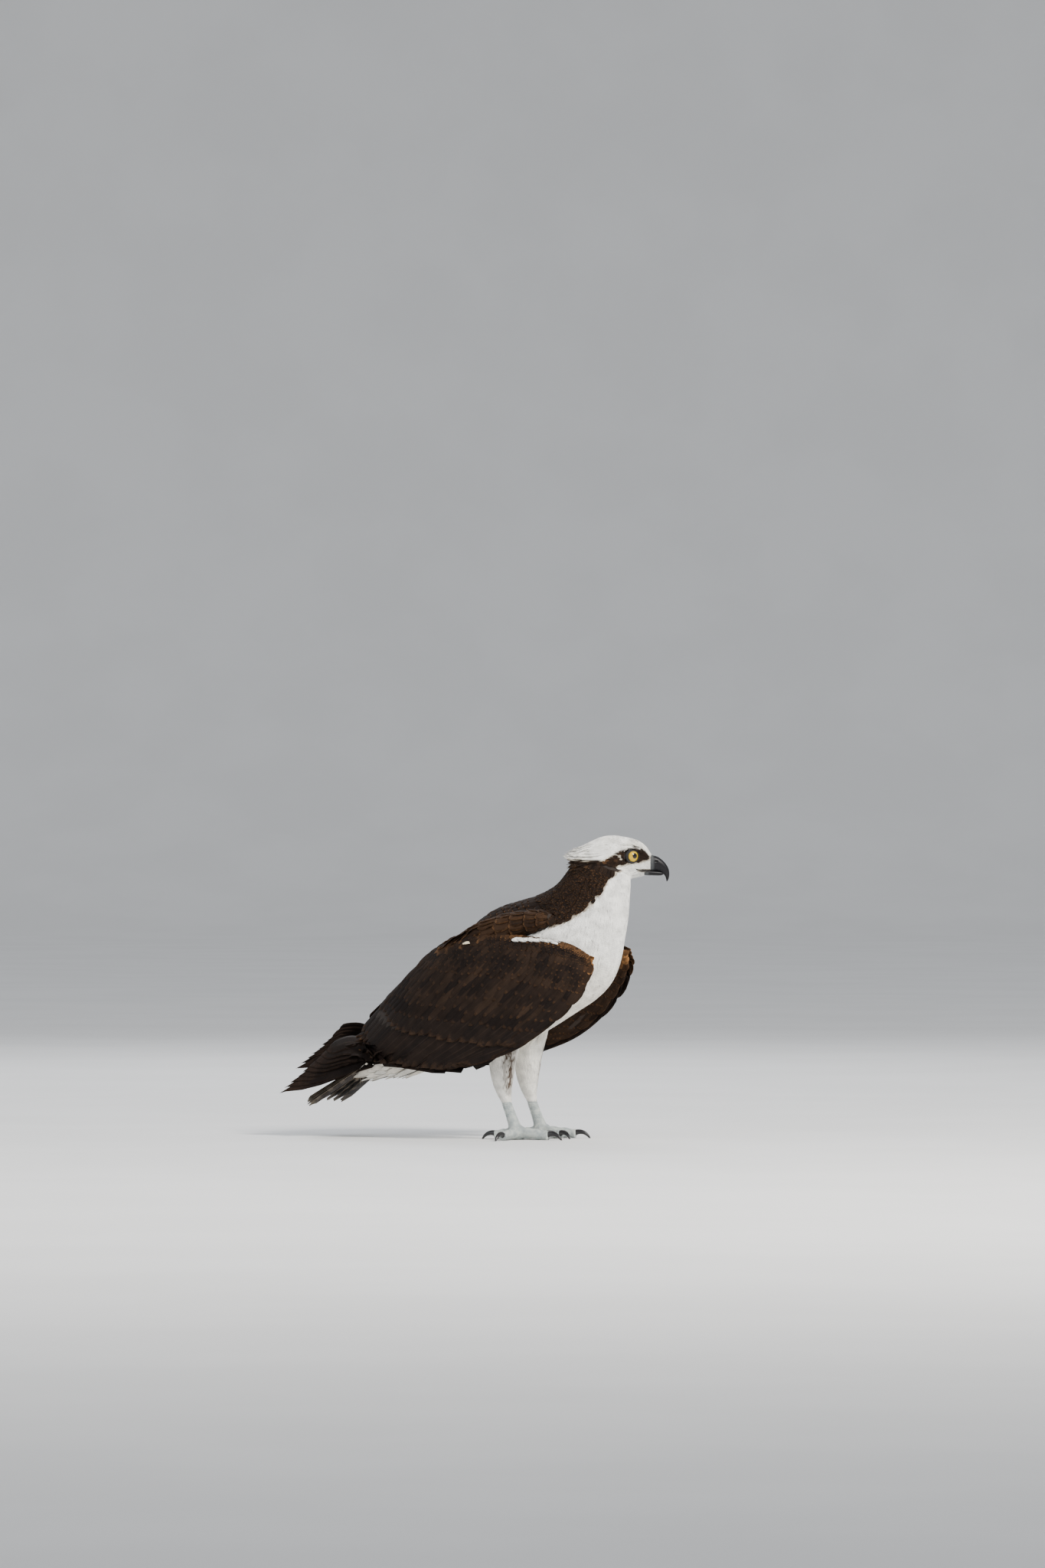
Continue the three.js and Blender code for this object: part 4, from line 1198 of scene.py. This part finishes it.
def feather_material(name, shaft, rough, bars=0.0):
    """Feather colours from the mesh, with an edge band, a shaft and fine slanting barbs."""
    n = Nodes(name)
    across, along, barbs = n.vector_of("vane")
    aside = n.math("ABSOLUTE", across)
    grain = n.noise(420, 2)
    tip = n.ramp(along, 0.70, 1.0)
    rim = n.math("MAXIMUM", n.math("MULTIPLY", aside, n.ramp(along, 0.0, 0.5)), tip)
    rim = n.math("ADD", rim, n.math("MULTIPLY", n.math("SUBTRACT", grain, 0.5), 0.5))
    colour = n.mix(n.ramp(rim, 0.70, 1.05), n.colour_of("plumage"), n.colour_of("fringe"))
    slant = n.math("SUBTRACT", along, n.math("MULTIPLY", aside, 0.16))
    wave = n.math("SINE", n.math("MULTIPLY", n.math("MULTIPLY", slant, barbs), 6.2832))
    patch = n.ramp(n.noise(90, 4), 0.3, 0.7, 0.82, 1.15)
    tone = n.math("MULTIPLY", n.ramp(wave, -1, 1, 0.86, 1.08), patch)
    if bars:
        wavy = n.math("ADD", along, n.math("MULTIPLY", grain, 0.02))
        bar = n.math("SINE", n.math("MULTIPLY", wavy, bars * 6.2832))
        pale = n.math("MULTIPLY", n.ramp(bar, 0.1, 0.7), n.ramp(across, -0.2, 0.6, 0.25, 1.0))
        colour = n.mix(n.math("MULTIPLY", pale, 0.55), colour, (0.16, 0.13, 0.10))
    rib = n.math("MULTIPLY", n.ramp(aside, 0.09, 0.03), n.ramp(along, 0.98, 0.6))
    colour = n.mix(n.math("MULTIPLY", rib, shaft), colour, (0.11, 0.07, 0.045))
    relief = n.math("ADD", wave, n.math("MULTIPLY", rib, 3))
    return n.finish(n.scaled(colour, tone), relief, 0.3, 0.0002, Roughness=rough, Specular_IOR_Level=0.08)


def skin_material():
    n = Nodes("skin")
    down = n.ramp(n.noise(320, 4), 0.3, 0.7, 0.8, 1.1)
    return n.finish(n.scaled(n.colour_of("plumage"), down), n.noise(500, 3), 0.5, 0.0008, Roughness=0.9)


def plain_material(name, dark, pale, scale, rough, bump=0.2):
    n = Nodes(name)
    colour = n.mix(n.ramp(n.noise(scale, 4), 0.35, 0.65), dark, pale)
    return n.finish(colour, n.noise(scale * 3, 3), bump, 0.0004, Roughness=rough)


def eye_material():
    """A black pupil in a yellow, finely rayed iris with a dark rim, under a clear cornea."""
    n = Nodes("eye")
    radius, turn, from_pupil = n.vector_of("iris")
    spokes = n.math("SINE", n.math("MULTIPLY", turn, 46.0))
    yellow = n.mix(n.ramp(spokes, -1, 1, 0.0, 0.5), (0.60, 0.385, 0.0), (0.47, 0.275, 0.0))
    yellow = n.mix(n.ramp(radius, 4.6, 2.8, 0.0, 0.5), yellow, (0.52, 0.29, 0.0))
    yellow = n.mix(n.ramp(radius, 6.3, 6.9), yellow, (0.006, 0.004, 0.003))
    colour = n.mix(n.ramp(from_pupil, 3.3, 3.5), (0.002, 0.002, 0.002), yellow)
    n.feed([n.shader["Base Color"]], [colour])
    n.shader["Roughness"].default_value = 0.35
    n.shader["Specular IOR Level"].default_value = 0.1
    n.shader["Coat Weight"].default_value = 0.8
    n.shader["Coat Roughness"].default_value = 0.02
    return n.material


def bill_material():
    """Black glossy horn with a blue-grey cere at its base."""
    n = Nodes("bill")
    ahead, slot, _ = n.vector_of("bill")
    grain = n.noise(260, 4)
    along = n.math("ADD", ahead, n.math("MULTIPLY", grain, 3.0))
    cere = n.mix(grain, (0.030, 0.033, 0.036), (0.085, 0.089, 0.090))
    horn = n.mix(n.noise(120, 3), (0.004, 0.004, 0.005), (0.014, 0.013, 0.015))
    colour = n.mix(n.ramp(along, 27.5, 31), cere, horn)
    colour = n.mix(slot, colour, (0.003, 0.003, 0.003))
    n.feed([n.shader["Roughness"]], [n.ramp(along, 28, 32, 0.6, 0.36)])
    return n.finish(colour, n.noise(700, 3), 0.15, 0.0002, Specular_IOR_Level=0.18)


# Pieces

PAINTS = (
    ("trunk", trunk_colour), ("head", head_colour), ("brow_right", head_colour), ("brow_left", head_colour),
    ("thigh_right", thigh_colour), ("thigh_left", thigh_colour),
)


def paint_skin(mesh):
    """The same markings and painted shade as the coat, at every vertex of the skin."""
    corners, faces = joined(PARTS.values())
    tree = BVHTree.FromPolygons(corners.tolist(), [tuple(f) for group in faces for f in group.tolist()])
    names = []
    for name, (_, groups) in PARTS.items():
        names += [name] * sum(len(g) for g in groups)
    points = mesh_points(mesh)
    region = np.array([names[tree.find_nearest(p)[2]] for p in points.tolist()])
    colours = np.tile(BROWN * 0.7, (len(points), 1))
    zero = np.zeros(len(points))
    for name, paint in PAINTS:
        chosen = region == name
        colours[chosen] = paint(points[chosen], zero[chosen])
    store_colour(mesh, "plumage", colours)


def add_skin():
    paint_skin(skin_mesh)
    skin_mesh.materials.clear()
    skin = add_object("skin", skin_mesh, skin_material())
    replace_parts(skin, "head", "neck", "torso", "thigh_right", "thigh_left", "wing_right", "wing_left")


def ring_frame(aim):
    """Two directions square to aim: level forward and up."""
    up = unit(np.array([0, 0, 1.0]) - aim * aim[2])
    forward = np.cross(up, aim)
    return forward * np.sign(forward[0]), up


def lathe(profile, centre, aim, count, shape=np.ones_like):
    """Rings turned round aim: profile rows are radius and height; shape widens a ring by its angle."""
    forward, up = ring_frame(aim)
    angle = circle(count)
    wide = shape(angle)
    spoke = np.cos(angle)[:, None] * forward + np.sin(angle)[:, None] * up
    return np.array([centre + spoke * (r * wide)[:, None] + aim * h for r, h in profile])


# The lids as a ring turned about the eye, radius and height: out over their edge, and back inside.
LIDS = (
    (7.0, 6.45), (6.95, 6.95), (7.2, 7.3), (7.7, 7.1), (8.3, 6.4), (8.9, 5.3), (9.4, 3.8), (9.6, 2.2),
    (9.0, 2.0), (8.6, 3.6), (8.0, 5.1), (7.2, 6.2),
)


def almond(angle):
    """How much wider the lids' ring is at each angle."""
    return 1 + 0.05 * np.cos(2 * angle) - 0.05 * np.maximum(np.sin(angle), 0) ** 2


def add_eye(side, material, lid_material):
    word = WORDS[side]
    centre, aim = eye_centre(side), eye_aim(side)
    lean = np.linspace(0.02, 2.2, 40)
    radius = EYE_RADIUS + 0.5 * np.exp(-((lean / 0.42) ** 2))
    profile = np.stack([radius * np.sin(lean), radius * np.cos(lean)], axis=1)
    points, faces = closed_tube(lathe(profile, centre, aim, 48))
    mesh = new_mesh("eye_" + word, points, faces)
    forward, up = ring_frame(aim)
    rel = points - centre
    u, v = rel @ forward, rel @ up
    back = (rel @ aim < 0) * 9.0
    from_pupil = np.hypot(u - 0.7, v - 0.7) + back
    store(mesh, "iris", np.stack([np.hypot(u, v) + back, np.arctan2(v, u), from_pupil], axis=1))
    eye = add_object("eyeball_" + word, mesh, material)
    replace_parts(eye, "eye_" + word)
    add_lids(centre, aim, "lids_" + word, lid_material)


def add_lids(centre, aim, name, material):
    columns = 72
    rings = lathe(LIDS, centre, aim, columns, almond)
    folds = 1 + 0.008 * np.sin(19 * circle(columns))[None, :, None]
    rings = centre + (rings - centre) * folds
    here = np.arange(columns)
    after = (here + 1) % columns
    last = (len(LIDS) - 1) * columns
    closing = np.stack([last + here, last + after, after, here], axis=1)
    faces = [grid_faces(len(LIDS), columns), closing]
    lids = add_object(name, new_mesh(name, rings.reshape(-1, 3), faces), material)


NOSTRIL = np.array([31.0, 6.9, -6.6])
NOSTRIL_SIZE = np.array([1.9, 2.6, 0.95])


def add_bill(material):
    """Both halves of the bill, with a pit at each nostril. The lower one's horn starts further back."""
    pieces = (("bill_over", "bill_upper", UPPER_BILL, 90), ("bill_under", "bill_lower", LOWER_BILL, 50))
    for name, node, table, rows in pieces:
        columns = 72
        t = np.repeat(np.linspace(0, 1, rows), columns)
        angle = np.tile(circle(columns), rows)
        local = spine(table, t, angle)
        if node == "bill_upper":
            flat = np.abs(np.cos(angle)) ** 0.8 * np.sign(np.cos(angle))
            local[:, 1] = flat * sample(table, t)[:, 4] * 0.97
        slot = np.zeros(len(local))
        for side in (RIGHT, LEFT):
            rel = (local - NOSTRIL * np.array([1, side, 1])) / NOSTRIL_SIZE
            pit = np.exp(-((rel**2).sum(axis=1) ** 1.5))
            local[:, 1] -= side * 1.5 * pit
            slot = np.maximum(slot, step(0.3, 0.7, pit))
        points, faces = closed_tube(from_head(local).reshape(rows, columns, 3))
        mesh = new_mesh(name, points, faces)
        tell = np.stack([into_head(points)[:, 0], np.append(slot, [0, 0]), np.zeros(len(points))], axis=1)
        if node == "bill_lower":
            tell[:, 0] += 6
        store(mesh, "bill", tell)
        piece = add_object(name, mesh, material)
        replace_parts(piece, node)


def tube_along(path, radius, around=12):
    """A closed round tube through a list of points, with a radius at each."""
    path = np.asarray(path, float)
    along = unit(np.gradient(path, axis=0))
    side = unit(np.cross(along, np.array([0.01, 0.02, 1.0])))
    up = np.cross(side, along)
    angle = circle(around)
    ring = side[:, None] * np.cos(angle)[None, :, None] + up[:, None] * np.sin(angle)[None, :, None]
    return closed_tube(path[:, None] + ring * np.asarray(radius)[:, None, None])


def add_gape(material):
    """The corner of the mouth as a slim fold on each side of the face."""
    for side, word in WORDS.items():
        x = np.linspace(24, 6, 12)
        z = np.interp(x, [6, 14, 24], [-16.6, -18.4, -18.9])
        rows = sample(HEAD, np.interp(x, HEAD[:, 0], np.linspace(0, 1, len(HEAD))))
        middle = (rows[:, 1] + rows[:, 2]) / 2
        height = (rows[:, 1] - rows[:, 2]) / 2
        wide = rows[:, 3] * np.sqrt(np.maximum(1 - ((z - middle) / height) ** 2, 0.05))
        path = from_head(np.stack([x, side * (wide - 0.7), z], axis=1))
        name = "gape_" + word
        fold = add_object(name, new_mesh(name, *tube_along(path, np.linspace(1.2, 0.6, 12))), material)


LOCK_WIDTHS = np.array([0.6, 1.0, 0.92, 0.74, 0.5, 0.26, 0.05])
# Locks of the nape crest: the height at which they spring, how steeply they fall and how long they are
CREST = np.array([
    [-24, 30, 15],
    [-14, 18, 20],
    [-6, 8, 21],
    [2, 7, 23],
    [10, 14, 25],
    [18, 22, 25],
    [27, 30, 17],
], float)


def crest(material):
    """Pointed, overlapping locks that leave the skull smoothly and run back past the nape."""
    batch = Batch()
    t, angle = scatter(head, 26, 4.0, 0.5, (0.0, 0.44))
    roots = head(t, angle, -1.0)
    q = into_head(roots)
    chosen = (q[:, 2] > -26) & (q[:, 0] < -26)
    t, angle, roots, q = pick(chosen, t, angle, roots, q)
    t, angle, roots, q = pick(np.argsort(q[:, 2]), t, angle, roots, q)
    count = len(t)
    fall = np.radians(np.interp(q[:, 2], CREST[:, 0], CREST[:, 1]) + vary(-3, 3, count))
    swing = vary(-0.07, 0.07, count) - q[:, 1] / 26 * 0.10
    way = np.stack([-np.cos(swing) * np.cos(fall), np.sin(swing), -np.sin(fall)], axis=1)
    way = from_head(way) - HEAD_PLACE
    _, out, _ = nearest(skin_tree, roots)
    lie = square_to(loft_way(head, t, angle, -1), out)
    length = np.interp(q[:, 2], CREST[:, 0], CREST[:, 2]) * vary(0.82, 1.06, count)
    reach = (length * np.interp(q[:, 0], [-58, -30], [1.0, 0.75]))[:, None, None]
    a = BLADE_STATIONS[None, :, None]
    bend = roots[:, None] + lie[:, None] * reach * 0.38 + out[:, None] * 0.9
    tips = roots[:, None] + way[:, None] * reach
    spots = roots[:, None] * (1 - a) ** 2 + bend * 2 * a * (1 - a) + tips * a**2
    along = unit(np.gradient(spots, axis=1))
    outs = square_to(out[:, None], along)
    sides = unit(np.cross(outs, along))
    dark = head_dark(spots[:, 3])
    colours = shaded(head_colour(spots[:, 2], vary(-1, 1, count)), 0.04)
    stained = step(6, 14, q[:, 2]) * (rng.random(count) < 0.4) * step(-44, -50, q[:, 0])
    ends = mix(colours, CREAM * 0.85, 0.25 * rng.random(count))
    ends = mix(ends, BROWN, np.maximum(stained * 0.9, dark * 0.7))
    lay_vanes(
        batch, spots, outs, sides, vary(1.5, 2.3, count), LOCK_WIDTHS, BLADE_COLUMNS, colours, ends,
        unwrap_at(t, angle, (0.52, 0.02)), cup=0.35, fray=0.03, barbs=14.0,
    )
    batch.finish("crest", material)


# Tail

def tail_quills(material):
    """The middle feathers on top, each one further out a step lower."""
    batch = Batch()
    count = TAIL["feathers"]
    level, down = math.cos(TAIL_DROP), math.sin(TAIL_DROP)
    up = np.array([-down, 0, level])
    order = sorted(range(count), key=lambda n: -abs(n - (count - 1) / 2))
    a = QUILL_STATIONS[:, None]
    start = 0.36 * TAIL["reach"]
    for n in order:
        share = n / (count - 1) * 2 - 1
        fan = share * TAIL["spread"]
        way = np.array([-math.cos(fan) * level, math.sin(fan), -math.cos(fan) * down])
        rank = round(abs(share) * (count - 1)) - (0 if share < 0 else 1)
        reach = TAIL["reach"] * (1 - 0.03 * abs(share))
        spots = TAIL_HUB + way * (start + a * (reach - start)) - up * TAIL["step"] * rank
        spots = spots + up * (9.0 * a * (1 - share**2) - 2.0 * a**2 * abs(share))
        outs = np.tile(up, (len(QUILL_STATIONS), 1))
        sides = np.tile(unit(np.cross(up, way)), (len(QUILL_STATIONS), 1))
        colour = mix(DARK, BROWN, vary(0.2, 0.6, 1))
        fringe = mix(BROWN, CREAM * 0.7, np.array([0.25]))
        unwrap = unwrap_at(np.array([0.95]), np.array([share]), (0.02, 0.02))
        lay_vanes(
            batch, spots[None], outs[None], sides[None], np.array([TAIL["half"]]), TAIL_WIDTHS,
            QUILL_COLUMNS, colour, fringe, unwrap, thick=0.7, cup=0.04, fray=0.02, barbs=150.0,
        )
    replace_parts(batch.finish("quills_tail", material), "tail")


# Coverts above and below the root of the tail: where their first row is, their half width, how steeply
# they fall in degrees and how far they fan out
TAIL_TRACTS = (
    {"sign": 1, "rows": 5, "x": -92, "half": 7.5, "drop": 36, "fan": 0.30, "dark": True},
    {"sign": -1, "rows": 7, "x": -78, "half": 6.5, "drop": 22, "fan": 0.42, "dark": False},
)
TAIL_LAST_ROW = -128
TAIL_COVERT = 40


def tail_covert_row(batch, tract, k):
    share = k / (tract["rows"] - 1)
    x = tract["x"] + (TAIL_LAST_ROW - tract["x"]) * share
    count = 11 - k // 2
    t = np.full(count, np.interp(-x, -BODY[:, 0], np.linspace(0, 1, len(BODY))))
    spread = np.linspace(-1, 1, count) + vary(-0.06, 0.06, count)
    angle = np.pi / 2 * tract["sign"] - tract["sign"] * spread * 1.15
    root = trunk(t, angle, -1.0)
    swing = spread * tract["fan"]
    drop = np.radians(tract["drop"] + vary(-5, 5, count) - 8 * share)
    way = np.stack([-np.cos(swing) * np.cos(drop), np.sin(swing), -np.sin(drop)], axis=1)
    outs = square_to(unit(root - trunk(t, angle, -6.0)), way)
    length = TAIL_COVERT * vary(0.85, 1.12, count)
    a = BLADE_STATIONS[None, :, None]
    bulge = 3.0 * a * (1 - a) + 0.8 * a
    spots = root[:, None] + way[:, None] * length[:, None, None] * a + outs[:, None] * bulge
    outs = np.repeat(outs[:, None], len(BLADE_STATIONS), axis=1)
    sides = unit(np.cross(outs, way[:, None]))
    if tract["dark"]:
        colours = mix(DARK, BROWN, vary(0.1, 0.6, count))
        fringes = mix(BROWN, RUFOUS, vary(0.1, 0.6, count))
    else:
        colours = mix(WHITE * 0.92, CREAM, vary(0.1, 0.5, count)) * vary(0.85, 1.05, count)[:, None]
        fringes = colours
    half = tract["half"] * vary(0.85, 1.1, count)
    lay_vanes(
        batch, spots, outs, sides, half, BLADE_WIDTHS, BLADE_COLUMNS, colours, fringes,
        unwrap_at(t, angle, (0.02, 0.02)), cup=0.25, fray=0.08, barbs=26.0,
    )


def tail_coverts(material):
    """Pointed feathers over and under the root of the tail, loose and shaggy below."""
    batch = Batch()
    for tract in TAIL_TRACTS:
        for k in range(tract["rows"]):
            tail_covert_row(batch, tract, k)
    batch.finish("coat_tail_root", material)


# Legs

def toe_path(toe, t):
    heading, length = TOES[toe]
    heading = math.radians(heading)
    t = np.asarray(t, float)[:, None]
    along = np.array([math.cos(heading), math.sin(heading), 0])
    rise = TOE_LIFT + 3.4 * (1 - t) ** 2 + 1.1 * np.sin(np.pi * t)
    return np.array([FOOT[0], FOOT[1], 0]) + along * t * length + np.array([0, 0, 1]) * rise, along


def place_leg(points, side):
    """The left leg mirrors the right one, a little further ahead."""
    if side == RIGHT:
        return points
    return points * np.array([1, -1, 1]) + np.array([LEFT_LEG_AHEAD, 0, 0])


def above_ground(points, least=0.0):
    points[..., 2] = np.maximum(points[..., 2], least)
    return points


def leg_flesh(side):
    """Shank, palm and toes as one smooth skin, with its points above the ground."""
    parts = [closed_tube(loft_rings(leg(SHANK, RIGHT), 30, 32, -0.5))]
    palm = FOOT + unit_ball(16, 24, 0.05, [1, 2, 0]) * (PALM - 0.5)
    parts.append(closed_tube(palm.reshape(16, 24, 3)))
    for toe in TOES:
        t = np.linspace(0, 1, 40)
        path, _ = toe_path(toe, t)
        radius = (TOE_RADIUS - 0.4) * (1.12 - 0.22 * t) * (1 + 0.08 * np.cos(t * 6 * np.pi))
        radius[-1] *= 0.8
        parts.append(tube_along(path, radius, 20))
    points, faces = joined(parts)
    return grown_together("rough_leg", (place_leg(points, side), faces), 0.0011, 5, above_ground)


def scale_dome(points, outs, ways, size, height):
    """Low six-sided domes, one at each place."""
    side = unit(np.cross(outs, ways))
    ways = unit(np.cross(side, outs))
    angle = np.arange(6) * np.pi / 3
    angle = angle[None, :, None]
    spoke = side[:, None] * np.cos(angle) + ways[:, None] * np.sin(angle)
    foot = points[:, None] + spoke * size[:, None, None] * 0.98 - outs[:, None] * 0.35
    brow = points[:, None] + spoke * size[:, None, None] * 0.62 + outs[:, None] * height[:, None, None]
    crown = points[:, None] + outs[:, None] * (height * 1.25)[:, None, None]
    grid = np.concatenate([foot, brow, crown], axis=1)
    j = np.arange(6)
    k = (j + 1) % 6
    quads = np.stack([j, k, k + 6, j + 6], axis=1)
    fan = np.stack([j + 6, k + 6, np.full(6, 12)], axis=1)
    base = np.array([[5, 4, 3, 2, 1, 0]])
    return grid, [quads, fan, base]


def leg_scales(side, mesh, material):
    """Small rough scales in staggered rows on the shank and toes, broader plates on top of the toes."""
    spots, ways, sizes = [], [], []
    shank = leg(SHANK, RIGHT)
    for i, z in enumerate(np.arange(0.05, 0.98, 0.041)):
        count = 22
        angle = (np.arange(count) + 0.5 * (i % 2)) * 2 * np.pi / count + vary(-0.03, 0.03, count)
        t = z + vary(-0.004, 0.004, count)
        spots.append(shank(t, angle, 0.5))
        ways.append(loft_way(shank, t, angle))
        sizes.append(np.full(count, 1.05))
    for toe in TOES:
        length = TOES[toe][1]
        for i, reach in enumerate(np.arange(0.12, 1.0, 1.75 / length)):
            count = 18
            angle = (np.arange(count) + 0.5 * (i % 2)) * 2 * np.pi / count
            path, along = toe_path(toe, np.full(count, reach))
            across = np.cross(along, [0, 0, 1.0])
            out = across * np.cos(angle)[:, None] + np.array([0, 0, 1.0]) * np.sin(angle)[:, None]
            spots.append(path + out * TOE_RADIUS)
            ways.append(np.tile(along, (count, 1)))
            sizes.append(np.full(count, 1.0) * np.where(np.sin(angle) > 0.3, 1.12, 0.95))
    spots = place_leg(np.vstack(spots), side)
    ways = mirrored(np.vstack(ways), side)
    sizes = np.concatenate(sizes) * vary(0.85, 1.1, len(spots))
    place, out, _ = nearest(tree_of(mesh), spots)
    keep = (place[:, 2] > 0.9) & (place[:, 2] < 49)
    place, out, ways, sizes = pick(keep, place, out, ways, sizes)
    spiny = np.where(out[:, 2] < -0.2, 0.75, 0.32) * vary(0.8, 1.2, len(place))
    grid, faces = scale_dome(place, out, ways, sizes, spiny)
    count, size = grid.shape[:2]
    name = "leg_scales_" + WORDS[side]
    points = above_ground(grid, 0.02).reshape(-1, 3)
    piece = add_object(name, new_mesh(name, points, repeated(faces, count, size)), material)


def add_leg(side, material):
    word = WORDS[side]
    mesh = leg_flesh(side)
    piece = add_object("leg_" + word, mesh, material)
    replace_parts(piece, "shank_" + word, "foot_" + word)
    leg_scales(side, mesh, material)


def add_claws(side, material):
    for toe in TOES:
        end, along = toe_path(toe, [1.0])
        t = np.linspace(0, 1, 26)
        angle = CLAW_RISE - t * CLAW_SWEEP
        ahead = CLAW_BEND * (math.sin(CLAW_RISE) - np.sin(angle)) - 1.5
        rise = CLAW_BEND * (np.cos(angle) - math.cos(CLAW_RISE)) + 1.2
        path = end + along * ahead[:, None] + np.array([0, 0, 1]) * rise[:, None]
        radius = CLAW_RADIUS * (1 - t) ** 0.75 + 0.12
        points, faces = tube_along(path, radius, 20)
        name = f"talon_{WORDS[side]}_{toe}"
        points = place_leg(above_ground(points, 0.05), side)
        claw = add_object(name, new_mesh(name, points, faces), material)
        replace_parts(claw, f"claw_{WORDS[side]}_{toe}")


# Stage

def add_stage():
    """A wide floor that bends up into a wall all round."""
    material = plain_material("floor", (0.80, 0.80, 0.795), (0.83, 0.83, 0.825), 3, 0.85, 0.02)
    flat, rise, bend = 14000.0, 9000.0, 2600.0
    angle = np.linspace(0, np.pi / 2, 16)
    profile = [[0.001, 0.0], [2000, 0.0], [8000, 0.0]]
    profile += [[flat + bend * math.sin(a), bend * (1 - math.cos(a))] for a in angle] + [[flat + bend, rise]]
    turn = circle(96)
    rings = np.array([[[r * math.cos(a), r * math.sin(a), z] for a in turn] for r, z in profile])
    mesh = new_mesh("floor", rings.reshape(-1, 3) - SHIFT, grid_faces(len(profile), len(turn)))
    add_object("floor", mesh, material, None)


# Where the lights point, in metres
BREAST = (0.03, 0, 0.2)


def add_light(name, place, size, power, colour):
    data = bpy.data.lights.new(name, "AREA")
    data.size = size
    data.energy = power
    data.color = colour
    light = link(name, data)
    light.location = place
    light.rotation_euler = (Vector(BREAST) - Vector(place)).to_track_quat("-Z", "Y").to_euler()


def add_lights():
    add_light("key", (2.9, -1.6, 2.7), 1.0, 250, (1.0, 0.965, 0.91))
    add_light("fill", (-2.0, -3.0, 1.4), 2.6, 42, (0.88, 0.93, 1.0))
    add_light("back", (-1.2, 2.6, 2.4), 1.8, 50, (0.95, 0.97, 1.0))
    world = bpy.data.worlds.new("studio")
    world.use_nodes = True
    sky = world.node_tree.nodes["Background"].inputs
    sky[0].default_value = (0.88, 0.91, 0.96, 1)
    sky[1].default_value = 0.72
    bpy.context.scene.world = world


def add_camera():
    """The photograph's view: level, from far off, and a little ahead of the right side."""
    azimuth = math.radians(20)
    distance = 10.81
    data = bpy.data.cameras.new("camera")
    data.lens = 200
    data.sensor_width = 36
    camera = link("camera", data)
    away = Vector((math.sin(azimuth), -math.cos(azimuth), 0))
    camera.location = Vector((0.0635, 0, 0.44)) + away * distance
    camera.rotation_euler = (math.radians(90), 0, azimuth)
    bpy.context.scene.camera = camera


add_camera()
add_stage()
add_lights()
add_skin()
down = feather_material("down", shaft=0.0, rough=0.85)
contour = feather_material("contour", shaft=0.05, rough=0.78)
flight = feather_material("flight", shaft=0.12, rough=0.62)
coat_of_trunk(down)
coat_of_head(down)
for side in (RIGHT, LEFT):
    coat_of_thigh(side, down)
    wing_coverts(side, contour)
    wing_quills(side, flight)
    scapulars(side, contour)
mantle(contour)
crest(contour)
tail_quills(feather_material("tail_feather", shaft=0.5, bars=7.0, rough=0.6))
tail_coverts(contour)
eye = eye_material()
lid = plain_material("lid", (0.004, 0.003, 0.003), (0.012, 0.010, 0.009), 900, 0.6)
add_bill(bill_material())
add_gape(lid)
leg_skin = plain_material("leg_skin", (0.33, 0.37, 0.37), (0.50, 0.53, 0.50), 160, 0.6, 0.4)
talon = plain_material("talon", (0.004, 0.004, 0.005), (0.016, 0.015, 0.016), 120, 0.3, 0.1)
for side in (RIGHT, LEFT):
    add_eye(side, eye, lid)
    add_leg(side, leg_skin)
    add_claws(side, talon)
